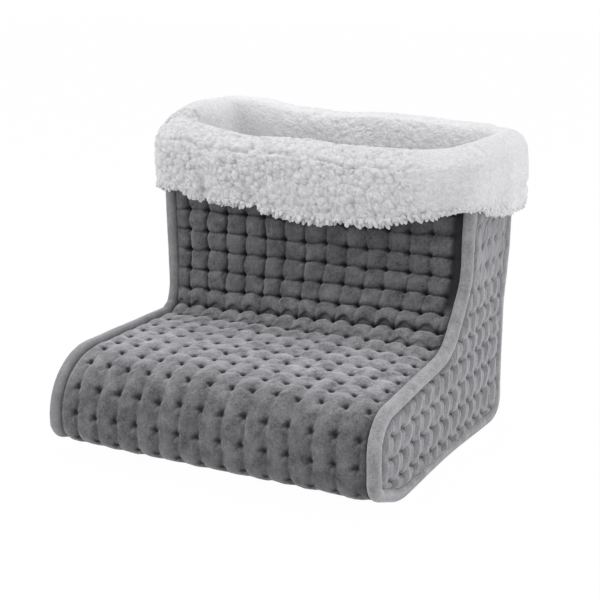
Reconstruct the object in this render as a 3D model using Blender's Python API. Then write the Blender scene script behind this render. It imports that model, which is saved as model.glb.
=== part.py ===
"""Electric foot warmer: a boot-shaped quilted bag with a sherpa lining turned down over its rim.

The bag stands on z = 0 with its toe towards -y and its width along x. Its shell is a front strip,
a back strip, a base and two side panels, joined by a rolled binding round each side panel. Foam
boards and a fleece lining follow the shell inside, and a heating pad lies under the sole.
"""
import math

import bmesh
import bpy
import numpy as np
from mathutils import Vector
from mathutils.geometry import delaunay_2d_cdt

# Clearances
GAP = 0.0003
CUT_OVERRUN = 0.002

# Shell seen from the side: nominal outer faces, which the quilted crowns stand proud of
SHELL_DEPTH = 0.267
SHAFT_DEPTH = 0.089
INSTEP_HEIGHT = 0.086
INSTEP_DROP = 0.004
CREASE_RADIUS = 0.022
TOE_TOP_RADIUS = 0.040
TOE_LOWER_RADIUS = 0.024
HEEL_RADIUS = 0.027
BACK_FLARE = 0.018
FLARE_START_HEIGHT = 0.108
FLARE_RISE = 0.050
FLARE_RADIUS = 0.060
RIM_FRONT_HEIGHT = 0.2405
RIM_BACK_HEIGHT = 0.258

# Binding: a solid plush roll along each edge of the shell
BINDING_SPACING = 0.290
BINDING_RADIUS = 0.0065
BINDING_INSET = 0.001
SIDE_PROUD = 0.003

# Quilted panels
QUILT_THICKNESS = 0.0045
QUILT_PITCH = 0.020
QUILT_CROWN = 0.003
QUILT_SADDLE = 0.0012
QUILT_DIMPLE = 0.0015
QUILT_EDGE_FADE = 0.009
RIM_BAND = 0.020
RIM_LEVEL_MARGIN = 0.004

# Layers inside the shell
BOARD_THICKNESS = 0.003
LINER_THICKNESS = 0.005
BASE_THICKNESS = 0.0045
SOLE_THICKNESS = 0.006

# Cuff of turned-down fleece
CUFF_FRONT_THICKNESS = 0.015
CUFF_SIDE_THICKNESS = 0.009
CUFF_BACK_THICKNESS = 0.0095
CUFF_INNER_THICKNESS = 0.007
CUFF_CROWN = 0.0135
CUFF_CORNER_RISE = 0.012
CUFF_LEG_LENGTH = 0.0555
CUFF_CORNER_RADIUS = 0.006
CUFF_SHOULDER = 0.009
CUFF_FALL_LENGTH = 0.0345
HEM_FRONT_SAG = 0.021
HEM_WAVE = 0.002
HEM_ROUNDING = 0.004
CUFF_LUMP = 0.0015

# Heating pad
PAD_SIDE_MARGIN = 0.008
PAD_END_MARGIN = 0.0055
FLEECE_THICKNESS = 0.0015
PAD_SKIRT_WIDTH = 0.0025
WIRE_RADIUS = 0.0011
RUN_PITCH = 0.020
WIRE_MARGIN = 0.006
WIRE_BEND_RADIUS = 0.006

# Thermal cut-outs in their sleeves, on the wire's line along the back of the pad
CUTOUT_LENGTH = 0.010
CUTOUT_WIDTH = 0.005
CUTOUT_HEIGHT = 0.0022
SLEEVE_LENGTH = 0.016
SLEEVE_WALL = 0.0003
LEFT_CUTOUT_X = 0.020
RIGHT_CUTOUT_X = 0.0875

# Inlet for the control lead, in the back panel
INLET_X = 0.060
INLET_HEIGHT = 0.045
INLET_WIDTH = 0.026
INLET_TALL = 0.012
INLET_WALL = 0.0015
HOUSING_FLOOR = 0.002
BEZEL_MARGIN = 0.006
BEZEL_THICKNESS = 0.0025
BEZEL_LIP = 0.001
BEZEL_EDGE = 0.0006
PLATE_THICKNESS = 0.0015
PIN_SPACING = 0.010
PIN_RADIUS = 0.0012
PIN_TIP_SETBACK = 0.002
LEAD_RADIUS = 0.0011
RIVET_RADIUS = 0.0011
RIVET_HEAD_RADIUS = 0.0024
RIVET_HEAD_HEIGHT = 0.0012
RIVET_TAIL_RADIUS = 0.0019
RIVET_TAIL_HEIGHT = 0.0008
PATCH_MARGIN = 0.006
PATCH_THICKNESS = 0.0025

# Counts
GUIDE_ARC_STEPS = 24
BINDING_ARC_STEPS = 6
WIRE_ARC_STEPS = 5
CUFF_FRONT_STEPS = 12
CUFF_SIDE_STEPS = 5
CUFF_CORNER_STEPS = 3
TURNED_SIDES = 12
HEM_WAVES = 9
LUMP_WAVES = 14

# Places worked out from the sizes above
FRONT_REACH = BINDING_RADIUS - BINDING_INSET
EDGE_REACH = max(QUILT_CROWN, FRONT_REACH) + GAP
BACK_REACH = BACK_FLARE + EDGE_REACH + CUFF_BACK_THICKNESS
NOSE_Y = FRONT_REACH - (FRONT_REACH + SHELL_DEPTH + BACK_REACH) / 2
BACK_Y = NOSE_Y + SHELL_DEPTH
SHAFT_Y = BACK_Y - SHAFT_DEPTH
BACK_TOP_Y = BACK_Y + BACK_FLARE
BASE_FRONT_Y = NOSE_Y + TOE_LOWER_RADIUS
BASE_BACK_Y = BACK_Y - HEEL_RADIUS

LEG_CORNER_RADIUS = CUFF_CORNER_RADIUS + CUFF_INNER_THICKNESS
CUFF_INNER_BOTTOM = RIM_FRONT_HEIGHT - CUFF_LEG_LENGTH
HEM_HEIGHT = RIM_FRONT_HEIGHT - CUFF_FALL_LENGTH
BINDING_X = BINDING_SPACING / 2
SIDE_X = BINDING_X + SIDE_PROUD
STRIP_HALF = BINDING_X - BINDING_RADIUS - GAP

BOARD_OUT = QUILT_THICKNESS + GAP
BOARD_IN = BOARD_OUT + BOARD_THICKNESS
LINER_OUT = BOARD_IN + GAP
LINER_IN = LINER_OUT + LINER_THICKNESS
LINER_HALF = SIDE_X - LINER_IN - GAP

# The rim is level over the front and the back strip, and slopes between these two places
SLOPE_FRONT_Y = SHAFT_Y + LINER_OUT + LEG_CORNER_RADIUS + RIM_LEVEL_MARGIN
SLOPE_BACK_Y = BACK_TOP_Y - LINER_OUT - LEG_CORNER_RADIUS - RIM_LEVEL_MARGIN

BOARD_BASE_Z = BASE_THICKNESS + GAP
CARRIER_Z = BOARD_BASE_Z + BOARD_THICKNESS + GAP
PAD_CAVITY_Z = CARRIER_Z + FLEECE_THICKNESS + GAP
SLEEVE_HEIGHT = 2 * (max(WIRE_RADIUS, LEAD_RADIUS, CUTOUT_HEIGHT / 2) + GAP + SLEEVE_WALL)
SLEEVE_WIDTH = CUTOUT_WIDTH + 2 * (GAP + SLEEVE_WALL)
WIRE_Z = PAD_CAVITY_Z + SLEEVE_HEIGHT / 2
COVER_Z = PAD_CAVITY_Z + SLEEVE_HEIGHT + GAP
SOLE_Z = COVER_Z + FLEECE_THICKNESS + GAP
SOLE_TOP = SOLE_Z + SOLE_THICKNESS

PAD_HALF = STRIP_HALF - PAD_SIDE_MARGIN
PAD_FRONT_Y = BASE_FRONT_Y + PAD_END_MARGIN
PAD_BACK_Y = BASE_BACK_Y - PAD_END_MARGIN
WIRE_LINE_Y = PAD_BACK_Y - PAD_SKIRT_WIDTH - WIRE_MARGIN

LEAD_Y = BASE_BACK_Y + HEEL_RADIUS - WIRE_Z
HOUSING_BACK_Y = LEAD_Y + LEAD_RADIUS + GAP
BEZEL_Y = BACK_Y + GAP
WINDOW_WIDTH = INLET_WIDTH + 2 * GAP
WINDOW_TALL = INLET_TALL + 2 * GAP
BEZEL_WIDTH = INLET_WIDTH + 2 * BEZEL_MARGIN
BEZEL_TALL = INLET_TALL + 2 * BEZEL_MARGIN
RIVET_X = (WINDOW_WIDTH + BEZEL_WIDTH) / 4
PLATE_Y = BACK_Y - BOARD_OUT

# Heights along the cuff's section, as shares of the outer fall from hem to shoulder
FALL_HEIGHT_SHARES = (0.10, 0.42, 0.76)
# How far each of those points and the shoulder stand out, as shares of the fall's thickness
FALL_OUT_SHARES = (0.82, 1.0, 0.97, 0.90)
# The crown's points: share of the way from the outer to the inner face, and share of the shoulder
CROWN_ACROSS_SHARES = (0.22, 0.50, 0.80)
CROWN_DROP_SHARES = (0.15, 0.0, 0.22)


def clear_objects():
    """Remove every object of the scene."""
    for item in list(bpy.data.objects):
        bpy.data.objects.remove(item, do_unlink=True)


def make_material(name, colour, roughness, metallic=0.0):
    """A Principled material of one colour."""
    material = bpy.data.materials.new(name)
    material.use_nodes = True
    shader = material.node_tree.nodes["Principled BSDF"]
    shader.inputs["Base Color"].default_value = (*colour, 1.0)
    shader.inputs["Roughness"].default_value = roughness
    shader.inputs["Metallic"].default_value = metallic
    return material


def add_object(name, data, material):
    """Link an object for the mesh or curve and give it the material."""
    item = bpy.data.objects.new(name, data)
    bpy.context.scene.collection.objects.link(item)
    if material is not None:
        data.materials.append(material)
    return item


def add_mesh(name, vertices, faces, material=None, smooth=False):
    """Add a closed mesh with its faces turned outwards."""
    mesh = bpy.data.meshes.new(name)
    mesh.from_pydata([tuple(map(float, vertex)) for vertex in vertices], [], faces)
    shape = bmesh.new()
    shape.from_mesh(mesh)
    bmesh.ops.recalc_face_normals(shape, faces=shape.faces)
    shape.to_mesh(mesh)
    shape.free()
    if smooth:
        mesh.shade_smooth()
        mesh.set_sharp_from_angle(angle=math.radians(40))
    return add_object(name, mesh, material)


def add_box(name, low, high, material=None):
    """Add a box between two corners."""
    corners = [(x, y, z) for x in (low[0], high[0]) for y in (low[1], high[1]) for z in (low[2], high[2])]
    faces = [(0, 1, 3, 2), (4, 6, 7, 5), (0, 4, 5, 1), (2, 3, 7, 6), (0, 2, 6, 4), (1, 5, 7, 3)]
    return add_mesh(name, corners, faces, material)


def add_turned(name, profile, x, z, material=None):
    """Add a round piece about a line along y; the profile's points are (radius, y) pairs."""
    angles = np.arange(TURNED_SIDES) * 2 * math.pi / TURNED_SIDES
    vertices = [(x + r * math.cos(a), y, z + r * math.sin(a)) for r, y in profile for a in angles]
    faces = []
    for ring in range(len(profile) - 1):
        for k in range(TURNED_SIDES):
            first, second = ring * TURNED_SIDES + k, ring * TURNED_SIDES + (k + 1) % TURNED_SIDES
            faces.append((first, second, second + TURNED_SIDES, first + TURNED_SIDES))
    last = (len(profile) - 1) * TURNED_SIDES
    faces.append(tuple(range(TURNED_SIDES)))
    faces.append(tuple(range(last, last + TURNED_SIDES)))
    return add_mesh(name, vertices, faces, material, smooth=True)


def cut(target, *cutters):
    """Subtract the cutters, which stay in the scene as hidden guides."""
    for cutter in cutters:
        cutter.hide_render = True
        cutter.display_type = "WIRE"
        modifier = target.modifiers.new(cutter.name, "BOOLEAN")
        modifier.operation = "DIFFERENCE"
        modifier.object = cutter


def add_tube(name, points, radius, resolution, material):
    """Add a round tube with closed ends along the points."""
    curve = bpy.data.curves.new(name, "CURVE")
    curve.dimensions = "3D"
    curve.bevel_depth = radius
    curve.bevel_resolution = resolution
    curve.use_fill_caps = True
    spline = curve.splines.new("POLY")
    spline.points.add(len(points) - 1)
    for point, place in zip(spline.points, points):
        point.co = (*map(float, place), 1.0)
    return add_object(name, curve, material)


def rounded_route(corners, radii, steps):
    """Points and unit tangents along a route of straight runs, with each inner corner rounded."""
    corners = [np.array(corner, dtype=float) for corner in corners]
    points = [corners[0]]
    tangents = [unit(corners[1] - corners[0])]
    for before, corner, after, radius in zip(corners, corners[1:], corners[2:], radii):
        entry, leave = unit(corner - before), unit(after - corner)
        turn = math.acos(np.clip(entry @ leave, -1.0, 1.0))
        inward = unit(leave - (leave @ entry) * entry)
        start = corner - entry * radius * math.tan(turn / 2)
        centre = start + inward * radius
        for step in range(steps + 1):
            angle = turn * step / steps
            points.append(centre - inward * radius * math.cos(angle) + entry * radius * math.sin(angle))
            tangents.append(entry * math.cos(angle) + inward * math.sin(angle))
    points.append(corners[-1])
    tangents.append(unit(corners[-1] - corners[-2]))
    return np.array(points), np.array(tangents)


def unit(vector):
    """The vector at length one."""
    return vector / np.linalg.norm(vector)


def outward(tangents):
    """Outward normals of a side-view route that runs down the front, along the base and up the back."""
    return np.stack([tangents[:, 1], -tangents[:, 0]], axis=1)


def sample_route(points, tangents, distances):
    """Points and outward normals at distances along a side-view route."""
    lengths = np.concatenate([[0.0], np.cumsum(np.linalg.norm(np.diff(points, axis=0), axis=1))])
    places = np.stack([np.interp(distances, lengths, points[:, k]) for k in range(2)], axis=1)
    along = np.stack([np.interp(distances, lengths, tangents[:, k]) for k in range(2)], axis=1)
    along /= np.linalg.norm(along, axis=1, keepdims=True)
    return places, outward(along)


def route_length(points):
    """The length of a route."""
    return float(np.linalg.norm(np.diff(points, axis=0), axis=1).sum())


def front_corners(floor):
    """Corners and radii of the shell's front in side view, from the rim down to the toe's underside."""
    corners = [(SHAFT_Y, RIM_FRONT_HEIGHT), (SHAFT_Y, INSTEP_HEIGHT),
               (NOSE_Y, INSTEP_HEIGHT - INSTEP_DROP), (NOSE_Y, floor)]
    return corners, [CREASE_RADIUS, TOE_TOP_RADIUS, TOE_LOWER_RADIUS]


def back_corners(floor):
    """Corners and radii of the shell's back in side view, from the heel up to the rim."""
    flare_top = FLARE_START_HEIGHT + FLARE_RISE
    corners = [(BACK_Y, floor), (BACK_Y, FLARE_START_HEIGHT),
               (BACK_TOP_Y, flare_top), (BACK_TOP_Y, RIM_BACK_HEIGHT)]
    return corners, [HEEL_RADIUS, FLARE_RADIUS, FLARE_RADIUS]


def strip_rows(points, band_at_start):
    """Distances of a quilted strip's rows: one wide row at the rim, then two rows to each pitch."""
    length = route_length(points)
    pitches = max(1, round((length - RIM_BAND) / QUILT_PITCH))
    rows = np.linspace(0.0, length - RIM_BAND, 2 * pitches + 1)
    if band_at_start:
        return np.concatenate([[0.0], rows + RIM_BAND])
    return np.concatenate([rows, [length]])


def front_stations():
    """Places and normals of the front strip's rows, from the rim down."""
    corners, radii = front_corners(0.0)
    corners.append((BASE_FRONT_Y, 0.0))
    points, tangents = rounded_route(corners, radii, GUIDE_ARC_STEPS)
    return sample_route(points, tangents, strip_rows(points, True))


def back_stations():
    """Places and normals of the back strip's rows, from the base up."""
    corners, radii = back_corners(0.0)
    corners.insert(0, (BASE_BACK_Y, 0.0))
    points, tangents = rounded_route(corners, radii, GUIDE_ARC_STEPS)
    return sample_route(points, tangents, strip_rows(points, False))


def binding_route():
    """The binding's centre line in side view, with its outward normals."""
    floor = BINDING_RADIUS + GAP - BINDING_INSET
    front, front_radii = front_corners(floor)
    back, back_radii = back_corners(floor)
    radii = front_radii + back_radii
    points, tangents = rounded_route(front + back, radii, BINDING_ARC_STEPS)
    normals = outward(tangents)
    return points - normals * BINDING_INSET, normals


def quilt_columns(half_width):
    """Places across a quilted strip: its edges, each dimple column and the middle between two."""
    count = max(2, round(2 * half_width / QUILT_PITCH))
    dimples = (np.arange(2 * count - 1) - (count - 1)) * QUILT_PITCH / 2
    return np.concatenate([[-half_width], dimples, [half_width]])


def quilt_heights(rows, columns):
    """Heights of a quilted grid over its nominal face, drawn in at its edges."""
    odd_row = np.arange(rows)[:, None] % 2
    odd_column = np.arange(columns)[None, :] % 2
    heights = np.where(odd_row + odd_column == 0, QUILT_CROWN, QUILT_SADDLE)
    heights = np.where(odd_row * odd_column == 1, -QUILT_DIMPLE, heights)
    heights[[0, -1], :] = -QUILT_DIMPLE
    heights[:, [0, -1]] = -QUILT_DIMPLE
    return heights


def add_strip(name, stations, columns, heights, depth, material, smooth=False):
    """Add a strip across the bag: its outer face at the heights, its inner face at a depth."""
    places, normals = stations
    rows, count = len(places), len(columns)
    outer = places[:, None, :] + normals[:, None, :] * np.broadcast_to(heights, (rows, count))[..., None]
    inner = places - normals * depth
    vertices = [(x, *outer[j, i]) for j in range(rows) for i, x in enumerate(columns)]
    base = len(vertices)
    vertices += [(x, *inner[j]) for j in range(rows) for x in (columns[0], columns[-1])]
    faces = []
    for j in range(rows - 1):
        here, below = j * count, (j + 1) * count
        faces += [(here + i, here + i + 1, below + i + 1, below + i) for i in range(count - 1)]
        under, next_under = base + 2 * j, base + 2 * j + 2
        faces.append((under, next_under, next_under + 1, under + 1))
        faces.append((here, below, next_under, under))
        faces.append((here + count - 1, under + 1, next_under + 1, below + count - 1))
    for j in (0, rows - 1):
        faces.append((*range(j * count, (j + 1) * count), base + 2 * j + 1, base + 2 * j))
    return add_mesh(name, vertices, faces, material, smooth)


def layer_strip(name, stations, low_x, high_x, out_depth, in_depth, material):
    """Add a plain strip between two depths inside the shell's nominal face."""
    return add_strip(name, stations, (low_x, high_x), -out_depth, in_depth, material)


def clip_band(outline, low, high):
    """Cut a side-view outline to the heights between low and high."""
    for limit, keep_above in ((low, True), (high, False)):
        kept = []
        for (y1, z1), (y2, z2) in zip(outline, outline[1:] + outline[:1]):
            inside_1 = z1 >= limit if keep_above else z1 <= limit
            inside_2 = z2 >= limit if keep_above else z2 <= limit
            if inside_1:
                kept.append((y1, z1))
            if inside_1 != inside_2:
                share = (limit - z1) / (z2 - z1)
                kept.append((y1 + (y2 - y1) * share, limit))
        outline = kept
    return outline


def add_side_slab(name, outline, x_out, x_in, material):
    """Add a flat slab with the outline between two places along x."""
    count = len(outline)
    vertices = [(x, y, z) for x in (x_out, x_in) for y, z in outline]
    faces = [tuple(range(count)), tuple(range(count, 2 * count))]
    faces += [(k, (k + 1) % count, count + (k + 1) % count, count + k) for k in range(count)]
    return add_mesh(name, vertices, faces, material)


def edge_distance(points, outline):
    """Distance of each point to the nearest edge of a closed outline."""
    start = np.array(outline)
    along = np.roll(start, -1, axis=0) - start
    away = points[:, None, :] - start[None, :, :]
    share = np.clip((away * along).sum(axis=2) / (along * along).sum(axis=1), 0.0, 1.0)
    return np.linalg.norm(away - share[..., None] * along, axis=2).min(axis=1)


def inside_outline(points, outline):
    """Whether each point lies inside a closed outline, by counting the edges to its right."""
    start = np.array(outline)
    end = np.roll(start, -1, axis=0)
    y, z = points[:, 0][:, None], points[:, 1][:, None]
    spans = (start[:, 1] > z) != (end[:, 1] > z)
    rise = np.where(spans, end[:, 1] - start[:, 1], 1.0)
    crossing = start[:, 0] + (z - start[:, 1]) / rise * (end[:, 0] - start[:, 0])
    return (spans & (y < crossing)).sum(axis=1) % 2 == 1


def add_quilted_side(name, side, outline, material):
    """Add a side panel: a quilted face over a flat back, drawn in along the whole outline."""
    low, high = np.min(outline, axis=0), np.max(outline, axis=0)
    counts = np.ceil((high - low) / (QUILT_PITCH / 2)).astype(int) + 1
    column, row = np.meshgrid(np.arange(counts[0]), np.arange(counts[1]), indexing="ij")
    grid = low + np.stack([column, row], axis=2).reshape(-1, 2) * QUILT_PITCH / 2
    heights = np.where((column + row) % 2 == 1, QUILT_SADDLE, QUILT_CROWN)
    heights = np.where((column % 2 == 1) & (row % 2 == 1), -QUILT_DIMPLE, heights).reshape(-1)
    distance = edge_distance(grid, outline)
    kept = inside_outline(grid, outline) & (distance > QUILT_PITCH / 8)
    fade = np.clip(distance / QUILT_EDGE_FADE, 0.0, 1.0)
    heights = -QUILT_DIMPLE + (heights + QUILT_DIMPLE) * fade
    rim = len(outline)
    flat = [Vector(point) for point in outline] + [Vector(point) for point in grid[kept]]
    face_places, _, triangles, origins, _, _ = delaunay_2d_cdt(flat, [], [list(range(rim))], 1, 0.0)
    rises = np.concatenate([np.full(rim, -QUILT_DIMPLE), heights[kept]])
    vertices = [(side * (SIDE_X + rises[origin[0]]), *place)
                for place, origin in zip(face_places, origins)]
    order = {origin[0]: index for index, origin in enumerate(origins)}
    faces = [tuple(triangle) for triangle in triangles]
    base = len(vertices)
    vertices += [(side * (SIDE_X - QUILT_THICKNESS), *point) for point in outline]
    faces.append(tuple(range(base, base + rim)))
    for k in range(rim):
        following = (k + 1) % rim
        faces.append((order[k], order[following], base + following, base + k))
    return add_mesh(name, vertices, faces, material, smooth=True)


def divided(outline):
    """A closed outline with points added along its long edges, half a pitch apart."""
    points = []
    for start, end in zip(outline, outline[1:] + outline[:1]):
        steps = max(1, round(math.dist(start, end) / (QUILT_PITCH / 2)))
        points += [tuple(point) for point in np.linspace(start, end, steps + 1)[:-1]]
    return points


def side_outline():
    """Outline of a side panel: inside the binding, closed by the sloping rim."""
    points, normals = binding_route()
    outline = [tuple(point) for point in points - normals * (BINDING_RADIUS + GAP)]
    return outline + [(SLOPE_BACK_Y, RIM_BACK_HEIGHT), (SLOPE_FRONT_Y, RIM_FRONT_HEIGHT)]


def liner_outline(front, back):
    """Outline of a side lining: inside the foam boards, between the sole and the cuff."""
    rows = [place - normal * LINER_OUT for stations in (front, back) for place, normal in zip(*stations)]
    return clip_band([tuple(row) for row in rows], SOLE_TOP + GAP, CUFF_INNER_BOTTOM - GAP)


def mouth_ring(half_width, front_y, back_y, radius):
    """Points round a rounded rectangle in plan, with those beside the sloping rim at the same y."""
    corners = [(half_width, front_y, -90), (half_width, back_y, 0),
               (-half_width, back_y, 90), (-half_width, front_y, 180)]
    arcs = []
    for x, y, start in corners:
        centre_x = x - math.copysign(radius, x)
        centre_y = y + radius if y == front_y else y - radius
        angles = np.radians(start + np.linspace(0.0, 90.0, CUFF_CORNER_STEPS + 1))
        arc = np.stack([np.cos(angles), np.sin(angles)], axis=1)
        arcs.append(radius * arc + (centre_x, centre_y))
    slope = np.linspace(SLOPE_FRONT_Y, SLOPE_BACK_Y, CUFF_SIDE_STEPS + 1)
    right = np.stack([np.full(len(slope), half_width), slope], axis=1)
    left = np.stack([np.full(len(slope), -half_width), slope[::-1]], axis=1)
    back = np.linspace(arcs[1][-1], arcs[2][0], CUFF_FRONT_STEPS + 1)[1:-1]
    front = np.linspace(arcs[3][-1], arcs[0][0], CUFF_FRONT_STEPS + 1)[1:-1]
    return np.concatenate([arcs[0], right, arcs[1], back, arcs[2], left, arcs[3], front])


def rim_height(y):
    """Height of the shell's rim at a place along y: level over the strips, sloping over the sides."""
    share = np.clip((y - SLOPE_FRONT_Y) / (SLOPE_BACK_Y - SLOPE_FRONT_Y), 0.0, 1.0)
    return RIM_FRONT_HEIGHT + (RIM_BACK_HEIGHT - RIM_FRONT_HEIGHT) * share


def add_cuff(material):
    """Add the turned-down fleece: an arched section carried round the rim, with a wavy hem."""
    edge_x = max(SIDE_X + QUILT_CROWN, BINDING_X + BINDING_RADIUS) + GAP
    front_y, back_y = SHAFT_Y - EDGE_REACH, BACK_TOP_Y + EDGE_REACH
    fall_in = mouth_ring(edge_x, front_y, back_y, BINDING_RADIUS)
    fall_out = mouth_ring(edge_x + CUFF_SIDE_THICKNESS, front_y - CUFF_FRONT_THICKNESS,
                          back_y + CUFF_BACK_THICKNESS, BINDING_RADIUS + CUFF_SIDE_THICKNESS)
    leg_x, leg_front, leg_back = SIDE_X - LINER_OUT, SHAFT_Y + LINER_OUT, BACK_TOP_Y - LINER_OUT
    leg_out = mouth_ring(leg_x, leg_front, leg_back, LEG_CORNER_RADIUS)
    leg_in = mouth_ring(leg_x - CUFF_INNER_THICKNESS, leg_front + CUFF_INNER_THICKNESS,
                        leg_back - CUFF_INNER_THICKNESS, CUFF_CORNER_RADIUS)
    count = len(fall_in)
    turn = np.arange(count) * 2 * math.pi / count
    across = fall_out[:, 0] / (edge_x + CUFF_SIDE_THICKNESS)
    backward = np.clip((fall_out[:, 1] - front_y) / (back_y - front_y), 0.0, 1.0)
    under = rim_height(fall_in[:, 1]) + GAP
    front_top = RIM_FRONT_HEIGHT + CUFF_CORNER_RISE * across ** 4
    top = front_top + (RIM_BACK_HEIGHT - front_top) * backward + GAP + CUFF_CROWN
    sag = HEM_FRONT_SAG * (1 - across ** 2) * (fall_out[:, 1] < front_y)
    hem = HEM_HEIGHT - sag + HEM_WAVE * np.sin(HEM_WAVES * turn)
    shoulder = top - CUFF_SHOULDER
    lump = CUFF_LUMP * np.sin(LUMP_WAVES * turn)

    def between(first, second, share):
        return first + (second - first) * np.reshape(share, (-1, 1))

    section = [(between(fall_in, fall_out, 0.5), hem)]
    for level, (rise, out) in enumerate(zip((*FALL_HEIGHT_SHARES, 1.0), FALL_OUT_SHARES)):
        swell = unit_rows(fall_out - fall_in) * (lump * (-1) ** level)[:, None]
        section.append((between(fall_in, fall_out, out) + swell, hem + (shoulder - hem) * rise))
    crown_out = between(fall_in, fall_out, FALL_OUT_SHARES[-1])
    for share, drop in zip(CROWN_ACROSS_SHARES, CROWN_DROP_SHARES):
        section.append((between(crown_out, leg_in, share), top - CUFF_SHOULDER * drop))
    section.append((leg_in, shoulder))
    section.append((leg_in, np.full(count, CUFF_INNER_BOTTOM + HEM_ROUNDING)))
    section.append((between(leg_in, leg_out, 0.5), np.full(count, CUFF_INNER_BOTTOM)))
    section.append((leg_out, np.full(count, CUFF_INNER_BOTTOM + HEM_ROUNDING)))
    section.append((leg_out, under))
    section.append((fall_in, under))
    section.append((fall_in, hem + HEM_ROUNDING))
    rows = len(section)
    vertices = [(*plan[k], level[k]) for plan, level in section for k in range(count)]
    faces = []
    for j in range(rows):
        here, following = j * count, (j + 1) % rows * count
        faces += [(here + k, here + (k + 1) % count, following + (k + 1) % count, following + k)
                  for k in range(count)]
    return add_mesh("cuff", vertices, faces, material, smooth=True)


def unit_rows(vectors):
    """Each row at length one."""
    return vectors / np.linalg.norm(vectors, axis=1, keepdims=True)


def add_shell(front, back, plush, trim, grip):
    """Add the quilted panels, the base and the two bindings."""
    columns = quilt_columns(STRIP_HALF)
    heights = quilt_heights(len(front[0]), len(columns))
    add_strip("front_panel", front, columns, heights, QUILT_THICKNESS, plush, smooth=True)
    heights = quilt_heights(len(back[0]), len(columns))[::-1]
    level, across = back[0][:, 1][:, None], columns[None, :]
    reach = QUILT_PITCH / 2
    by_inlet = ((np.abs(level - INLET_HEIGHT) < BEZEL_TALL / 2 + reach)
                & (np.abs(across - INLET_X) < BEZEL_WIDTH / 2 + reach))
    heights = np.where(by_inlet, 0.0, heights)
    panel = add_strip("back_panel", back, columns, heights, QUILT_THICKNESS, plush, smooth=True)
    cut(panel, inlet_window("back_panel_window"), *rivet_holes("back_panel_hole"))
    add_box("base_panel", (-STRIP_HALF, BASE_FRONT_Y + GAP, 0.0),
            (STRIP_HALF, BASE_BACK_Y - GAP, BASE_THICKNESS), grip)
    outline = side_outline()
    points, _ = binding_route()
    for side, word in ((-1, "left"), (1, "right")):
        add_quilted_side(f"side_panel_{word}", side, divided(outline), plush)
        route = [(side * BINDING_X, *point) for point in points]
        add_tube(f"binding_{word}", route, BINDING_RADIUS, 3, trim)


def add_boards(front, back, foam):
    """Add the foam boards behind each panel and over the base."""
    layer_strip("board_front", front, -STRIP_HALF, STRIP_HALF, BOARD_OUT, BOARD_IN, foam)
    board = layer_strip("board_back", back, -STRIP_HALF, STRIP_HALF, BOARD_OUT, BOARD_IN, foam)
    cut(board, inlet_window("board_back_window", BEZEL_WIDTH + 2 * GAP, BEZEL_TALL + 2 * GAP))
    outline = side_outline()
    for side, word in ((-1, "left"), (1, "right")):
        x_out, x_in = side * (SIDE_X - BOARD_OUT), side * (SIDE_X - BOARD_IN)
        add_side_slab(f"board_{word}", outline, x_out, x_in, foam)
    add_box("board_base", (-STRIP_HALF, BASE_FRONT_Y + GAP, BOARD_BASE_Z),
            (STRIP_HALF, BASE_BACK_Y - GAP, BOARD_BASE_Z + BOARD_THICKNESS), foam)


def below(stations, height):
    """The stations whose places lie below a height, with the last one cut at it."""
    places, normals = stations
    kept = places[:, 1] < height
    edge = np.array([[np.interp(height, *sorted_columns(places)), height]])
    edge_normal = np.array([[math.copysign(1.0, normals[kept][-1 if kept[0] else 0, 0]), 0.0]])
    if kept[0]:
        return np.concatenate([places[kept], edge]), np.concatenate([normals[kept], edge_normal])
    return np.concatenate([edge, places[kept]]), np.concatenate([edge_normal, normals[kept]])


def sorted_columns(places):
    """Heights and places along y of the upper stations, by rising height."""
    upper = places[places[:, 1] > FLARE_START_HEIGHT]
    upper = upper[np.argsort(upper[:, 1])]
    return upper[:, 1], upper[:, 0]


def add_lining(front, back, fleece):
    """Add the lining's front, back, sides and sole."""
    top = CUFF_INNER_BOTTOM - GAP
    layer_strip("liner_front", below(front, top), -LINER_HALF, LINER_HALF, LINER_OUT, LINER_IN, fleece)
    liner = layer_strip("liner_back", below(back, top), -LINER_HALF, LINER_HALF,
                        LINER_OUT, LINER_IN, fleece)
    half = WINDOW_WIDTH / 2
    slot = add_box("liner_back_slot", (INLET_X - half, BASE_BACK_Y - CUT_OVERRUN, 0.0),
                   (INLET_X + half, BACK_Y, INLET_HEIGHT + WINDOW_TALL / 2))
    cut(liner, slot)
    outline = liner_outline(front, back)
    for side, word in ((-1, "left"), (1, "right")):
        x_out, x_in = side * (SIDE_X - LINER_OUT), side * (SIDE_X - LINER_IN)
        add_side_slab(f"liner_{word}", outline, x_out, x_in, fleece)
    add_box("liner_sole", (-STRIP_HALF, BASE_FRONT_Y + GAP, SOLE_Z),
            (STRIP_HALF, BASE_BACK_Y - GAP, SOLE_TOP), fleece)


def lead_places():
    """The places along x of the two leads, by name."""
    return {"live": INLET_X - PIN_SPACING / 2, "neutral": INLET_X + PIN_SPACING / 2}


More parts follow.
